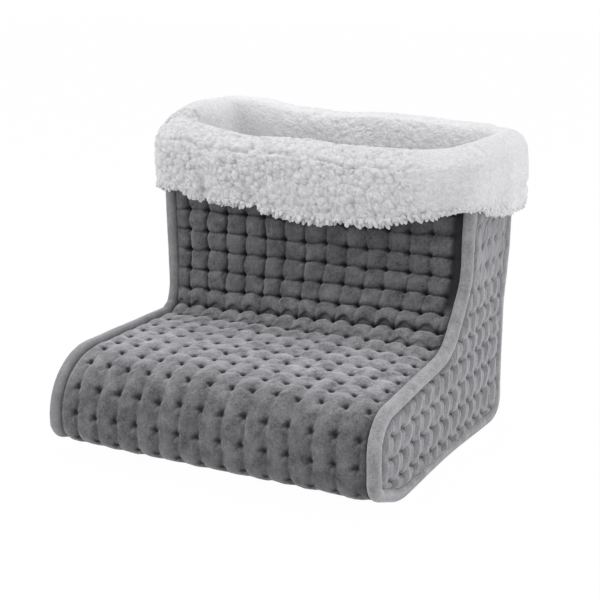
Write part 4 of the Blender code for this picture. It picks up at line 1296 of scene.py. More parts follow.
@dataclass
class BackPanel(Piece):
    """The back strip of quilted plush, from the sole round the heel to the rim, with the inlet's hole."""

    pitch: float = 19.9 * MM
    first_column: float = -129.3 * MM
    first_row: float = 0.3
    crown: float = 4.0 * MM
    crease: float = 0.62
    step: float = 1.2 * MM
    tuck: float = 4.0 * MM
    hole_margin: float = 0.3 * MM
    frame_margin: float = 1.5 * MM

    def line(self, step: float) -> Array:
        """Places (y, z) from the sole's end up to the rim, evenly spaced."""
        pattern = self.pattern
        return rounded_line([(pattern.base_back_y, 0.0, 0.0), *pattern.back_corners(0.0, pattern.rim_back)], step)

    def base(self, x: Array, line: Array) -> Array:
        """Nominal face: the line carried across."""
        grid_x, (y, z) = np.broadcast_to(x, (len(line), len(x))), line.T
        return np.stack([grid_x, *(np.broadcast_to(part[:, None], grid_x.shape) for part in (y, z))], axis=-1)

    def quilting(self, place: Array, along: Array) -> Pair:
        """The quilting, which flattens round the inlet's frame and towards the floor.

        Args:
            place: The nominal face.
            along: Each row's distance along it, shaped as its points.

        Returns:
            Heights over the nominal face, and painted shade: a share from 0 in the dark to 1 in the light.
        """
        across, rows = (place[..., 0] - self.first_column) / self.pitch, along / self.pitch + self.first_row
        height, shade = Tufting(self.pitch, self.pitch, seed=23).height(
            across, rows, self.crown, self.crease, self.crease)
        low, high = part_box("inlet_bezel")
        reach = np.maximum(np.abs(place[..., 0] - (low.x + high.x) / 2) - (high.x - low.x) / 2,
                           np.abs(place[..., 2] - (low.z + high.z) / 2) - (high.z - low.z) / 2)
        away = smooth((reach - self.frame_margin) / (7 * MM))
        height = np.where(place[..., 2] < 90 * MM, away, 1.0) * height
        inset = self.pattern.strip_inset(place[..., 0])
        floor = ramp(place[..., 2], 1, 14)
        height = stitched(edge_fade(height, inset), inset) * (0.15 + 0.85 * floor)
        waves = ripple(across * 2.3, rows * 2.1, 7)
        height = height + 0.4 * MM * waves * away * from_edge(inset) * floor
        # Painted shade: darker by slope, and the whole back darker by 0.62.
        return height, slope_shaded(shade, height, self.step, -0.45, 0.0) * 0.62

    def build(self) -> None:
        """Make the panel from the plush."""
        x, line = self.pattern.strip_x(self.tuck, self.step), self.line(self.step)
        window = inlet_window(x, line[:, 1], self.hole_margin)
        place = self.base(x, line)
        height, shade = self.quilting(place, np.broadcast_to(lengths_along(line)[:, None], place.shape[:2]))
        outer, inner = self.pattern.quilted(place, height, window.back_columns)
        finish_piece(put_slab("back_quilt", outer, inner, shade, window), self.palette.plush, Slot.PLUSH,
                     "back_panel", fill=0.7)


@dataclass
class SidePanel(Piece):
    """A side panel of quilted plush inside its binding."""

    side: Side
    column_pitch: float = 19.4 * MM
    row_pitch: float = 18.8 * MM
    first_column: float = -124.0 * MM
    row_heights: Sizes = (-13, 6, 25, 44, 63, 82, 100, 118, 136, 153, 171, 190, 209, 228, 247, 266)
    lean: float = 0.24
    lean_height: float = 118.0 * MM
    bulge: float = 3.0 * MM
    tuck: float = 3.2 * MM
    step: float = 0.9 * MM

    def quilting(self, y: Array, z: Array, inset: Array) -> Pair:
        """The quilting, with leaf-shaped hollows in the foot that fade up the shaft.

        Its rows tilt near the sole and its columns lean above the instep. Fine gathers run along the
        binding.

        Args:
            y: Places along the foot.
            z: Heights.
            inset: How far the places lie inside the panel's edge.

        Returns:
            Heights over the nominal face, and painted shade: a share from 0 in the dark to 1 in the light.
        """
        along = (y + 124 * MM) / (233 * MM)
        tilt = (2.0 - 8.5 * along) * MM * np.clip(1.0 - (z - 25 * MM) / (57 * MM), 0.0, 1.2)
        rows = np.interp(z - tilt, np.array(self.row_heights) * MM, np.arange(len(self.row_heights)))
        leaning = self.lean * np.clip(z - self.lean_height, 0.0, None)
        across = (y - leaning - self.first_column) / self.column_pitch
        upper = ramp(z, 110, 40)
        tufts = Tufting(self.column_pitch, self.row_pitch, pit=2.6 * MM, pit_radius=2.6 * MM,
                        seed=31 + self.side.value)
        height, shade = tufts.height(
            across, rows, crown=(3.4 - 0.4 * upper) * MM, columns=0.06 + 0.02 * upper, rows=0.06, soft=0.9,
            leaf=(3.4 - 2.8 * upper) * MM, lines=0.0, row_lines=0.0)
        height = edge_fade(height, inset - 2.2 * MM, -1.2 * MM, 1.3 * MM)
        gathers = np.sin(z / (3.1 * MM) + 2.0 * ripple(y / (15 * MM), z / (15 * MM), 41))
        height = height + 0.5 * MM * gathers * bell(inset, 8, 4)
        # Painted light and shade by slope, and the whole side darker by 0.84.
        shade = slope_shaded(shade, height, self.step, -0.40, 0.25) * 0.84
        return height + 0.4 * MM * ripple(across * 2.3, rows * 2.1, 43) * from_edge(inset), shade

    def build(self) -> None:
        """Make the panel from the plush."""
        pattern, sign = self.pattern, self.side.value
        outline = pattern.side_outline(self.side, self.tuck, 1.0 * MM)
        low, high = outline.min(axis=0) - self.step, outline.max(axis=0) + self.step
        y, z = np.meshgrid(*(np.arange(low[axis], high[axis], self.step) for axis in (0, 1)))
        inside, inset = within(outline, y, z)
        height, shade = self.quilting(y, z, inset)
        face = pattern.half_width + self.bulge
        piece = put_masked(f"side_quilt_{self.side.word}", np.stack([sign * (face + height), y, z], axis=-1),
                           inside, sign * (face - pattern.quilt_thickness), shade)
        finish_piece(piece, self.palette.smooth_plush, Slot.PLUSH, f"side_panel_{self.side.word}", fill=0.7)


def within(outline: Array, first: Array, second: Array) -> Pair:
    """Which places lie inside a closed outline, and how far inside.

    A place is inside where a ray from it crosses the outline an odd number of times, and its inset is
    its distance to the nearest edge, negative outside.

    Args:
        outline: The outline's points, in pairs.
        first: Places' first coordinates.
        second: Their second coordinates.

    Returns:
        A mask and the insets, shaped as the places.
    """
    shape = first.shape
    points = np.stack([first.ravel(), second.ravel()], axis=1)[:, None]
    start, end = outline[None], np.roll(outline, -1, axis=0)[None]
    edge = end - start
    share = ((points - start) * edge).sum(-1) / np.maximum((edge * edge).sum(-1), 1e-18)
    nearest = start + np.clip(share, 0.0, 1.0)[..., None] * edge
    distance = np.linalg.norm(points - nearest, axis=-1).min(axis=1)
    spans = (start[..., 1] > points[..., 1]) != (end[..., 1] > points[..., 1])
    rise = np.where(edge[..., 1] == 0.0, 1.0, edge[..., 1])
    crossing = start[..., 0] + (points[..., 1] - start[..., 1]) * edge[..., 0] / rise
    inside = ((spans & (points[..., 0] < crossing)).sum(axis=1) % 2 == 1)
    return inside.reshape(shape), np.where(inside, distance, -distance).reshape(shape)


def put_masked(name: str, points: Array, mask: Array, inner_x: float, tone: Array) -> Item:
    """Make a closed slab from the cells of a grid that lie inside a mask, over a flat back.

    Args:
        name: The object's name.
        points: The face, rows x columns x 3.
        mask: Which of its points are used.
        inner_x: Place of the flat back along x.
        tone: Painted shade of each point, a share for the material.

    Returns:
        The linked object.
    """
    whole = mask[:-1, :-1] & mask[1:, :-1] & mask[:-1, 1:] & mask[1:, 1:]
    quads = grid_faces(np.arange(mask.size).reshape(mask.shape))[whole.ravel()]
    used, numbers = np.unique(quads, return_inverse=True)
    item = put_mesh(name, points.reshape(-1, 3)[used], [numbers.reshape(-1, 4)], tone.ravel()[used])
    work = bmesh.new()
    work.from_mesh(item.data)
    border = [edge for edge in work.edges if edge.is_boundary]
    drawn = bmesh.ops.extrude_edge_only(work, edges=border)["geom"]
    corners = [part for part in drawn if isinstance(part, bmesh.types.BMVert)]
    flatten = Matrix.Translation((inner_x, 0.0, 0.0)) @ Matrix.Diagonal((0.0, 1.0, 1.0, 1.0))
    bmesh.ops.transform(work, matrix=flatten, verts=corners)
    bmesh.ops.holes_fill(work, edges=[edge for edge in work.edges if edge.is_boundary], sides=0)
    bmesh.ops.recalc_face_normals(work, faces=work.faces)
    work.to_mesh(item.data)
    work.free()
    item.data.shade_smooth()
    return item


def put_prism(name: str, outline: Array, low_x: float, high_x: float, bevel: float) -> Item:
    """Make a board with rounded edges.

    Args:
        name: The object's name.
        outline: Its closed outline (y, z).
        low_x: Where it starts on x.
        high_x: Where it ends.
        bevel: Width of the rounded edges.

    Returns:
        The linked object.
    """
    points = np.concatenate([np.insert(outline, 0, x, axis=1) for x in (low_x, high_x)])
    item = put_mesh(name, points, tube_faces(2, len(outline)))
    edge = item.modifiers.new("rounded_edges", "BEVEL")
    edge.width, edge.segments, edge.limit_method = bevel, 2, "ANGLE"
    return item


@dataclass
class Binding(Piece):
    """One side's rolled binding: plush tape folded over the seam, with its stitching and puckers."""

    side: Side
    step: float = 1.3 * MM
    around: int = 40
    stitch_pitch: float = 3.4 * MM
    power: float = 2.7
    shaded: float = 0.55

    def build(self) -> None:
        """Make the binding from its plush.

        Its section is a rounded square |a|^n + |b|^n = r^n about the seam line, n being its power. The
        left one leans inwards under the cuff, and the right one's sole is arched off the floor.
        """
        pattern, sign, is_left = self.pattern, self.side.value, self.side is Side.LEFT
        line = pattern.binding_line(self.side, self.step)
        normal = outward_of(line)
        turn = np.linspace(0.0, 2 * math.pi, self.around, endpoint=False)
        wave, side_wave = np.cos(turn), np.sin(turn)
        section = (np.abs(wave) ** self.power + np.abs(side_wave) ** self.power) ** (-1.0 / self.power)
        s, t = np.meshgrid(lengths_along(line), turn, indexing="ij")
        slim = pattern.slim(self.side)
        rolled, from_seam = pattern.binding_radius - slim, np.abs(t - math.pi)
        radius = rolled * section[None] * (0.965 + 0.02 * ripple(s / (24 * MM), t / 2.1, 51 + sign))
        folds = (ripple(s / (3.4 * MM), t / 0.9, 53 + sign) * 0.28
                 + ripple(s / (9 * MM), t / 1.2, 55 + sign) * 0.30)
        radius = radius + folds * MM * (0.35 + np.exp(-((from_seam - 0.95) / 0.35) ** 2))
        dash = 0.5 + 0.5 * np.cos(2 * math.pi * s / self.stitch_pitch)
        seam = np.exp(-((from_seam - 0.98) / 0.085) ** 2)
        radius = radius - seam * (0.15 + 0.15 * dash) * MM
        radius = np.minimum(radius, np.where(np.cos(t) * normal[:, 1:] < -0.2, rolled, 1.0))
        out = radius * wave[None]
        x = sign * (pattern.half_width + slim + radius * side_wave[None])
        y, z = line[:, :1] + out * normal[:, :1], line[:, 1:] + out * normal[:, 1:]
        z = np.maximum(z, 0.15 * MM)
        if is_left:
            x = x + (3.2 * MM - 1.6 * MM * ramp(z, 110, 90)) * ramp(z, 88, 22)
        else:
            arch = np.sin(math.pi * np.clip((y + 118 * MM) / (225 * MM), 0.0, 1.0)) ** 2
            z = z + 3.2 * MM * arch * ramp(z, 30, -12)
        # Painted shade: darker in the folds' hollows and lighter on their crests, and the whole left binding
        # darker by the factor shaded; also darker along the stitched seam.
        shade = np.clip(0.85 + 0.15 * folds - 0.3 * seam, 0.0, 1.0) * (self.shaded if is_left else 1.0)
        piece = put_mesh(f"binding_roll_{self.side.word}", np.stack([x, y, z], axis=-1).reshape(-1, 3),
                         tube_faces(*x.shape), shade.ravel())
        finish_piece(piece, self.palette.binding, Slot.BINDING, f"binding_{self.side.word}", fill=0.8)


def plan_inset(x: Array, y: Array, low: Vector, high: Vector) -> Array:
    """How far places on the plan lie inside a box's nearest side."""
    return np.minimum(np.minimum(x - low.x, high.x - x), np.minimum(y - low.y, high.y - y))


@dataclass
class Underside(Piece):
    """The sole's cloth with its grip dots."""

    dot_radius: float = 1.9 * MM
    dot_height: float = 0.7 * MM
    dot_pitch: float = 10.0 * MM
    dot_sides: int = 10
    dot_rings: Sizes = (1.0, 0.86, 0.45)
    dot_rises: Sizes = (0.85, 0.25, 0.0)
    dot_margin: float = 9.0 * MM
    step: float = 3.0 * MM

    def build(self) -> None:
        """Make the cloth and the dots."""
        low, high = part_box("base_panel")
        x, y = np.meshgrid(spaced(low.x, high.x, self.step), spaced(high.y, low.y, self.step))
        soft = 0.25 * MM * ripple(x / (22 * MM), y / (22 * MM), 61)
        rounding = 1.2 * MM * np.exp(-np.clip(plan_inset(x, y, low, high), 0.0, None) / (2.0 * MM))
        cloth = put_shell(
            "sole_cloth", self.pattern.over_sole(x, y, self.dot_height + 0.25 * MM + soft + rounding),
            self.pattern.over_sole(x, y, high.z - rounding * 0.5))
        finish_piece(cloth, self.palette.base, Slot.BASE, "base_panel")
        finish_piece(self.put_dots(low, high), self.palette.dots, Slot.BASE)

    def put_dots(self, low: Vector, high: Vector) -> Item:
        """Make one mesh of all the dots: flat domes in staggered rows, each of three rings of points.

        Args:
            low: The sole's low corner.
            high: Its high corner.

        Returns:
            The linked object.
        """
        margin, pitch = self.dot_margin, self.dot_pitch
        columns = np.arange(low.x + margin, high.x - margin, pitch)
        rows = np.arange(low.y + margin, high.y - margin, pitch * math.sqrt(3) / 2)
        x, y = np.meshgrid(columns, rows)
        x = x + (np.arange(len(rows)) % 2)[:, None] * pitch / 2
        keep = x < high.x - margin
        places = self.pattern.over_sole(x[keep], y[keep], 0.0)
        angle = np.arange(self.dot_sides) * 2 * math.pi / self.dot_sides
        ring_x, ring_y = (np.outer(self.dot_rings, wave(angle)) * self.dot_radius for wave in (np.cos, np.sin))
        rises = np.array(self.dot_rises) * self.dot_height * 1.6
        dome = np.stack([ring_x, ring_y, np.broadcast_to(rises[:, None], ring_x.shape)], axis=-1).reshape(-1, 3)
        dome[:, 2] = dome[:, 2] + 0.02 * MM
        return put_mesh("grip_dots", (places[:, None] + dome[None]).reshape(-1, 3),
                        tube_faces(*ring_x.shape, len(places)))


@dataclass
class Lining(Piece):
    """The fleece lining: front, back, two sides and the sole, with their pile inwards."""

    under: float = 8.1 * MM
    depth: float = 13.1 * MM
    side_inset: float = 8.0 * MM
    top: float = 184.7 * MM
    step: float = 2.2 * MM
    curl: float = 6.5 * MM
    pile: float = 2.0 * MM

    def fleece(self, points: Array, seed: int) -> Array:
        """Heights of the pile, from 0 to 1, at points in metres."""
        return curls(points / self.curl, seed)[0]

    def strip(self, word: str, grids: Pair, seed: int) -> None:
        """Make one lining panel from its back and pile grids.

        Args:
            word: Which panel.
            grids: The grid of the cloth's back, against the foam, and that of the pile's roots.
            seed: Seed of the pile.
        """
        outer, inner = grids
        # The pile's heights also serve as painted shade, darker down between the curls.
        tone = self.fleece(inner, seed)
        piled = inner + unit_rows(inner - outer) * ((tone - 1.0) * self.pile)[..., None]
        piece = put_shell(f"lining_{word}", outer, piled, tone)
        finish_piece(piece, self.palette.sherpa, Slot.SHERPA, f"liner_{word}")

    def wall(self, side: Side) -> None:
        """Make one side's lining panel.

        Args:
            side: Which side.
        """
        low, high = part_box(f"liner_{side.word}")
        sign = side.value
        back_x, pile_x = (high.x, low.x) if side is Side.RIGHT else (low.x, high.x)
        outline = self.pattern.side_outline(side, self.side_inset, 0.0)
        outline[:, 1] = np.clip(outline[:, 1], low.z, self.top)
        y, z = np.meshgrid(np.arange(low.y, high.y + self.step, self.step), np.arange(low.z, self.top, self.step))
        inside, _ = within(outline, y, z)
        # The pile's heights also serve as painted shade, darker down between the curls.
        tone = self.fleece(np.stack([np.full(y.shape, pile_x), y, z], axis=-1), 77 + sign)
        points = np.stack([pile_x + sign * (1.0 - tone) * self.pile, y, z], axis=-1)
        piece = put_masked(f"lining_{side.word}", points, inside, back_x, tone)
        finish_piece(piece, self.palette.sherpa, Slot.SHERPA, f"liner_{side.word}")

    def build(self) -> None:
        """Make the five panels."""
        front, back = (kind(self.pattern, self.palette) for kind in (FrontPanel, BackPanel))
        low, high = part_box("liner_front")
        self.strip("front", front.layers(high.x, front.row_at(self.top), self.step, self.under, self.depth),
                   71)
        line = back.line(self.step)
        place = back.base(spaced(low.x, high.x, self.step), line[line[:, 1] < self.top])
        self.strip("back", layers_under(place, self.under, self.depth), 74)
        for side in Side:
            self.wall(side)
        low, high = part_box("liner_sole")
        x, y = np.meshgrid(spaced(low.x, high.x, self.step), spaced(low.y, high.y, self.step))
        self.strip("sole", tuple(self.pattern.over_sole(x, y, z) for z in (low.z, high.z)), 81)


@dataclass
class Boards(Piece):
    """The foam boards between the plush and the lining."""

    under: float = 4.8 * MM
    depth: float = 7.8 * MM
    side_inset: float = 6.8 * MM
    outline_points: int = 260
    base_columns: int = 60
    base_rows: int = 48
    hole_margin: float = 0.6 * MM
    step: float = 5.0 * MM
    bevel: float = 0.7 * MM

    def put_back(self, low: Vector, high: Vector) -> Item:
        """Make the back board, with the inlet's hole through it.

        Args:
            low: Low corner of the front board, which is as wide.
            high: Its high corner.

        Returns:
            The linked object.
        """
        back = BackPanel(self.pattern, self.palette)
        place = back.base(spaced(low.x, high.x, self.step), back.line(self.step))
        outer, inner = layers_under(place, self.under, self.depth)
        window = inlet_window(outer[0, :, 0], outer[:, 0, 2], self.hole_margin)
        columns, rows = window.back_columns[1:3], [window.first_row, window.last_row]
        for grid in (outer, inner):
            grid[:, columns, 0] = outer[0, columns, 0]
            grid[rows, :, 2] = outer[rows, 0, 2][:, None]
        return put_slab("board_foam_back", outer, inner[:, window.back_columns], None, window)

    def build(self) -> None:
        """Make the five boards."""
        front = FrontPanel(self.pattern, self.palette)
        low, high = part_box("board_front")
        grids = front.layers(high.x, front.rim_row, self.step, self.under, self.depth)
        pieces = {"front": put_shell("board_foam_front", *grids), "back": self.put_back(low, high)}
        for side in Side:
            low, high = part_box(f"board_{side.word}")
            outline = self.pattern.side_outline(side, self.side_inset, 0.0)
            outline = resampled(outline, self.outline_points)[:-1]
            pieces[side.word] = put_prism(f"board_foam_{side.word}", outline, low.x, high.x, self.bevel)
        low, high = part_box("board_base")
        x, y = np.meshgrid(np.linspace(low.x, high.x, self.base_columns),
                           np.linspace(low.y, high.y, self.base_rows))
        faces = (self.pattern.over_sole(x, y, z) for z in (low.z, high.z))
        pieces["base"] = put_shell("board_foam_base", *faces)
        for word, piece in pieces.items():
            finish_piece(piece, self.palette.foam, Slot.FOAM, f"board_{word}", fill=1.0)


@dataclass
class HeaterPad(Piece):
    """The heating pad's felt: a flat carrier, and a cover with ridges where the wire runs."""

    run_pitch: float = 20.0 * MM
    runs: int = 12
    turn_room: float = 7.0 * MM
    feed_inset: float = 1.1 * MM
    step: float = 2.5 * MM
    felt: float = 1.5 * MM
    fuzz: float = 0.12 * MM
    pocket_radius: float = 4.0 * MM
    pocket_bevel: float = 0.6 * MM

    def wire_distance(self, x: Array, y: Array) -> Array:
        """Distance from places to the wire: to the nearest run, its front turns and its feed line.

        Args:
            x: Places across.
            y: Places along.

        Returns:
            The distances.
        """
        low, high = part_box("heating_wire")
        radius = self.run_pitch / 2
        front, back = low.y + radius, high.y - self.turn_room
        index = x / self.run_pitch + self.runs / 2 - 0.5
        straight = np.abs(index - np.clip(np.rint(index), 0, self.runs - 1)) * self.run_pitch
        pair = np.rint((index - 0.5) / 2) * 2 + 0.5
        front_turn = np.abs(np.hypot((index - pair) * self.run_pitch, y - front) - radius)
        between = np.where(y < front, front_turn, straight)
        feed = np.abs(y - (high.y - self.feed_inset))
        return np.where(y > back, np.minimum(between, feed), between)

    def build(self) -> None:
        """Make the carrier, the cover and the lead pocket."""
        low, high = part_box("heater_carrier")
        x, y = np.meshgrid(spaced(low.x, high.x, self.step), spaced(low.y, high.y, self.step))
        fuzz = np.abs(self.fuzz * ripple(x / (7 * MM), y / (7 * MM), 91))
        over, size = self.pattern.over_sole, (high.x - low.x, high.y - low.y)
        carrier = put_shell("heater_felt_carrier", over(x, y, low.z), over(x, y, high.z - fuzz))
        finish_piece(carrier, self.palette.felt, Slot.FELT, "heater_carrier")
        bottom, top = (corner.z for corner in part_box("heater_cover"))
        ridge = bell(self.wire_distance(x, y), 0, 5)
        hug = ramp(plan_inset(x, y, low, high), 0, 4)
        crest = bottom + self.felt + (top - bottom - self.felt) * hug * (0.80 + 0.20 * ridge) - fuzz
        below = np.maximum(crest - self.felt, bottom)
        cover = put_shell("heater_felt_cover", over(x, y, crest), over(x, y, below))
        finish_piece(cover, self.palette.felt, Slot.FELT, "heater_cover")
        self.pocket()

    def pocket(self) -> None:
        """Make the pocket over the leads, a board turned to face the back by swapping x and y."""
        low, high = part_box("inlet_patch")
        outline = rounded_box(low.x, high.x, low.z, high.z, self.pocket_radius)
        item = put_prism("lead_pocket", outline, low.y, high.y, self.pocket_bevel)
        item.data.transform(Matrix(((0, 1, 0, 0), (1, 0, 0, 0), (0, 0, 1, 0), (0, 0, 0, 1))))
        item.data.flip_normals()
        finish_piece(item, self.palette.felt, Slot.FELT, "inlet_patch")


def rounded_box(low_x: float, high_x: float, low_y: float, high_y: float, radius: float) -> Array:
    """Points round a rounded rectangle, anticlockwise from the bottom right corner.

    Args:
        low_x: Its left side.
        high_x: Its right side.
        low_y: Its lower side.
        high_y: Its upper side.
        radius: Radius of its corners.

    Returns:
        The points, in pairs.
    """
    angle = np.radians(np.arange(4)[:, None] * 90.0 - 90.0 + np.linspace(0.0, 90.0, 10)[None])
    middle_x = np.array([high_x - radius, high_x - radius, low_x + radius, low_x + radius])[:, None]
    middle_y = np.array([low_y + radius, high_y - radius, high_y - radius, low_y + radius])[:, None]
    return np.stack([middle_x + radius * np.cos(angle), middle_y + radius * np.sin(angle)], axis=-1).reshape(-1, 2)


def spline_weights(share: Array) -> Array:
    """Weights of four controls round a place, a share past the second: the Catmull-Rom cubics."""
    square, cube = share ** 2, share ** 3
    return np.stack([-0.5 * share + square - 0.5 * cube, 1 - 2.5 * square + 1.5 * cube,
                     0.5 * share + 2 * square - 1.5 * cube, -0.5 * square + 0.5 * cube])


@dataclass
class Cuff(Piece):
    """The turned-down sherpa cuff: its leg inside the rim, its roll and its fall with a ragged hem."""

    step: float = 1.1 * MM
    curl: float = 6.6 * MM
    curl_height: float = 2.8 * MM
    leg_bottom: float = 185.0 * MM
    left_hem: float = 198.0 * MM
    lip: float = 12.5 * MM
    runs: Sizes = (282, 34, 100)
    rings: Tuple[Sizes, ...] = ((132.9, 45.7, 122.5, 8), (139.9, 38.7, 129.5, 13),
                                (151.8, 24.8, 143.4, 14), (160.6, 10.2, 152.9, 22))
    hem_x: Sizes = (-160, -136, -111, -85, -60, -46, -31, -6, 18, 44, 65, 85, 100, 122, 140, 160)
    hem_z: Sizes = (203, 201.5, 194, 192, 194.5, 194.5, 189, 187.5, 186, 188.5, 189, 192, 197.5, 200, 206, 208)
    side_y: Sizes = (20, 34, 45, 60, 75, 95, 115, 135, 150)
    side_z: Sizes = (207, 206, 202, 197.5, 195, 193, 191.5, 193, 198)
    top_x: Sizes = (-145, -128, -107, -92, -71, -50, -21, -8, 14, 38, 67, 92, 112, 134, 157)
    top_z: Sizes = (262, 260, 258, 257, 254.3, 253.6, 255.2, 255.3, 253, 251, 251.5, 251, 252, 255.5, 260)
    left_y: Sizes = (5, 16, 28, 41, 52, 66, 78, 104, 125)
    left_z: Sizes = (254, 260, 266.5, 271, 274, 276, 276.5, 275.6, 275)
    back_x: Sizes = (-141, -107, -74, -26, 20, 79, 136, 159)
    back_z: Sizes = (276, 272.5, 266.5, 264, 267, 264, 261, 261.5)
    section_station: float = 0.55
    outer_point: int = 30
    hem_points: int = 9
    lock_count: int = 900
    lock_sides: int = 8
    lock_rings: Sizes = (0.0, 0.25, 0.55, 0.82, 1.0)
    lock_widths: Sizes = (0.8, 1.0, 0.98, 0.72, 0.25)
    lock_radius: float = 2.0 * MM

    def ring(self, half: float, front: float, back: float, radius: float, counts: Tuple[int, int, int]) -> Array:
        """Points round a rounded rectangle whose stations match those of the other rings.

        Args:
            half: Half its width.
            front: Its front, along y.
            back: Its back, along y.
            radius: Its corner radius.
            counts: Stations along the front or back, round a corner, and along a side.

        Returns:
            Points (x, y), from the middle of the front's left end, anticlockwise from above.
        """
        across, corner, along = counts
        ends = np.linspace(0.0, 1.0, across, endpoint=False)
        bends = np.radians(np.linspace(0.0, 90.0, corner, endpoint=False))
        runs = np.linspace(0.0, 1.0, along, endpoint=False)
        x0, y0, y1 = half - radius, front + radius, back - radius
        pieces = [
            np.stack([-x0 + 2 * x0 * ends, np.full(across, front)], axis=1),
            np.stack([x0 + radius * np.sin(bends), y0 - radius * np.cos(bends)], axis=1),
            np.stack([np.full(along, half), y0 + (y1 - y0) * runs], axis=1),
            np.stack([x0 + radius * np.cos(bends), y1 + radius * np.sin(bends)], axis=1),
            np.stack([x0 - 2 * x0 * ends, np.full(across, back)], axis=1),
            np.stack([-x0 - radius * np.sin(bends), y1 + radius * np.cos(bends)], axis=1),
            np.stack([np.full(along, -half), y1 - (y1 - y0) * runs], axis=1),
            np.stack([-x0 - radius * np.cos(bends), y0 - radius * np.sin(bends)], axis=1)]
        return np.concatenate(pieces)

    def edges(self, x: Array, y: Array) -> Pair:
        """Heights of the cuff's top and hem, read from the tables and smoothed by a bell-shaped mean.

        Args:
            x: The outermost ring's places across.
            y: Its places along.

        Returns:
            The top's heights and the hem's.
        """
        hem, hanging = table_at(x, self.hem_x, self.hem_z), table_at(y, self.side_y, self.side_z)
        hem = hem + (np.where(x > 0, hanging, self.left_hem) - hem) * ramp(y, 12, 18)
        top = table_at(x, self.top_x, self.top_z)
        top = top + (table_at(x, self.back_x, self.back_z) - top) * ramp(y, 40, 85)
        raised = table_at(y, self.left_y, self.left_z)
        top = top + (raised - top) * ramp(x, -138, -14) * ramp(y, 14, 14)
        kernel = np.exp(-(np.linspace(-2.2, 2.2, 31)) ** 2)
        kernel, half = kernel / kernel.sum(), len(kernel) // 2
        top, hem = (np.convolve(np.concatenate([v[-half:], v, v[:half]]), kernel, "valid") for v in (top, hem))
        return top, hem

    def controls(self) -> Pair:
        """Controls of the cuff's closed section at every station of the rings.

        Each lies a number of rings out from the innermost, at its own height: from the hem up the fall,
        over the top and down the leg, and back up against the rim and down to the hem.

        Returns:
            The controls (stations x controls x 3), and a 1 for each that is on the seen side, or else 0.
        """
        counts = tuple(round(run * MM / self.step) for run in self.runs)
        rings = np.stack([self.ring(*(size * MM for size in sizes), counts) for sizes in self.rings])
        x, y = rings[3].T
        top, hem = self.edges(x, y)
        flat = ramp(y, 118, 28) * ramp(np.abs(x), 138, -20)
        rim = np.interp(rings[2][:, 1], [55.7 * MM, 112.5 * MM], [self.pattern.rim_front, self.pattern.rim_back])
        rim = rim - sunk_rim(*rings[2].T)
        top = np.maximum(top, rim + 6.0 * MM)
        leg, rise, lip = self.leg_bottom, top - hem, top - self.lip * (1.0 - 0.6 * flat)
        section = [
            (2.50, hem - 1.0 * MM, 1), (2.92, hem + 2.0 * MM, 1), (3.05, hem + 0.25 * rise, 1),
            (3.06, hem + 0.50 * rise, 1), (2.98, lip - 7 * MM, 1), (2.83, lip, 1),
            (2.25, top - 5.0 * MM * (1.0 - flat), 1), (1.45, top, 1), (0.75, top - 2.5 * MM, 1),
            (0.15, top - 11 * MM, 1), (-0.05, top - 24 * MM, 1), (0.0, (top + leg) / 2 - 6 * MM, 1),
            (0.05, leg + 8 * MM, 1), (0.30, leg, 0), (0.90, leg + 1.5 * MM, 0), (1.0, rim - 10 * MM, 0),
            (1.35, rim + 1.6 * MM, 0), (1.75, rim + 1.6 * MM, 0), (2.02, rim - 8 * MM, 0),
            (2.05, hem + 5 * MM, 0), (2.2, hem + 0.5 * MM, 1)]
        out, heights, seen = zip(*section)
        ring = np.clip(np.floor(out).astype(int), 0, len(rings) - 2)
        plan = rings[ring] + (rings[ring + 1] - rings[ring]) * (np.array(out) - ring)[:, None, None]
        height = np.stack([np.broadcast_to(z, x.shape) for z in heights])
        points = np.concatenate([plan, height[..., None]], axis=-1).transpose(1, 0, 2).copy()
        points[:, 12:15] = settled(points[:, 12:15])
        return points, np.array(seen)

    def surface(self) -> Pair:
        """The cuff's smooth shape: a closed spline section carried round the rim.

        Returns:
            Points (stations x section x 3), and a share that is 1 on the seen side and 0 on the side
            against the bag.
        """
        controls, seen = self.controls()
        count = len(seen)
        middle = controls[round(len(controls) * self.section_station)]
        spread = np.linalg.norm(np.roll(middle, -1, axis=0) - middle, axis=1)
        spans = [np.linspace(k, k + 1, max(3, round(spread[k] / self.step)) if seen[k] else 4, endpoint=False)
                 for k in range(count)]
        along = np.concatenate(spans)
        first = np.floor(along).astype(int)
        weights = spline_weights(along - first)
        points = sum(weights[j][None, :, None] * controls[:, (first + j - 1) % count] for j in range(4))
        return points, smooth(np.interp(along, np.arange(count), seen))

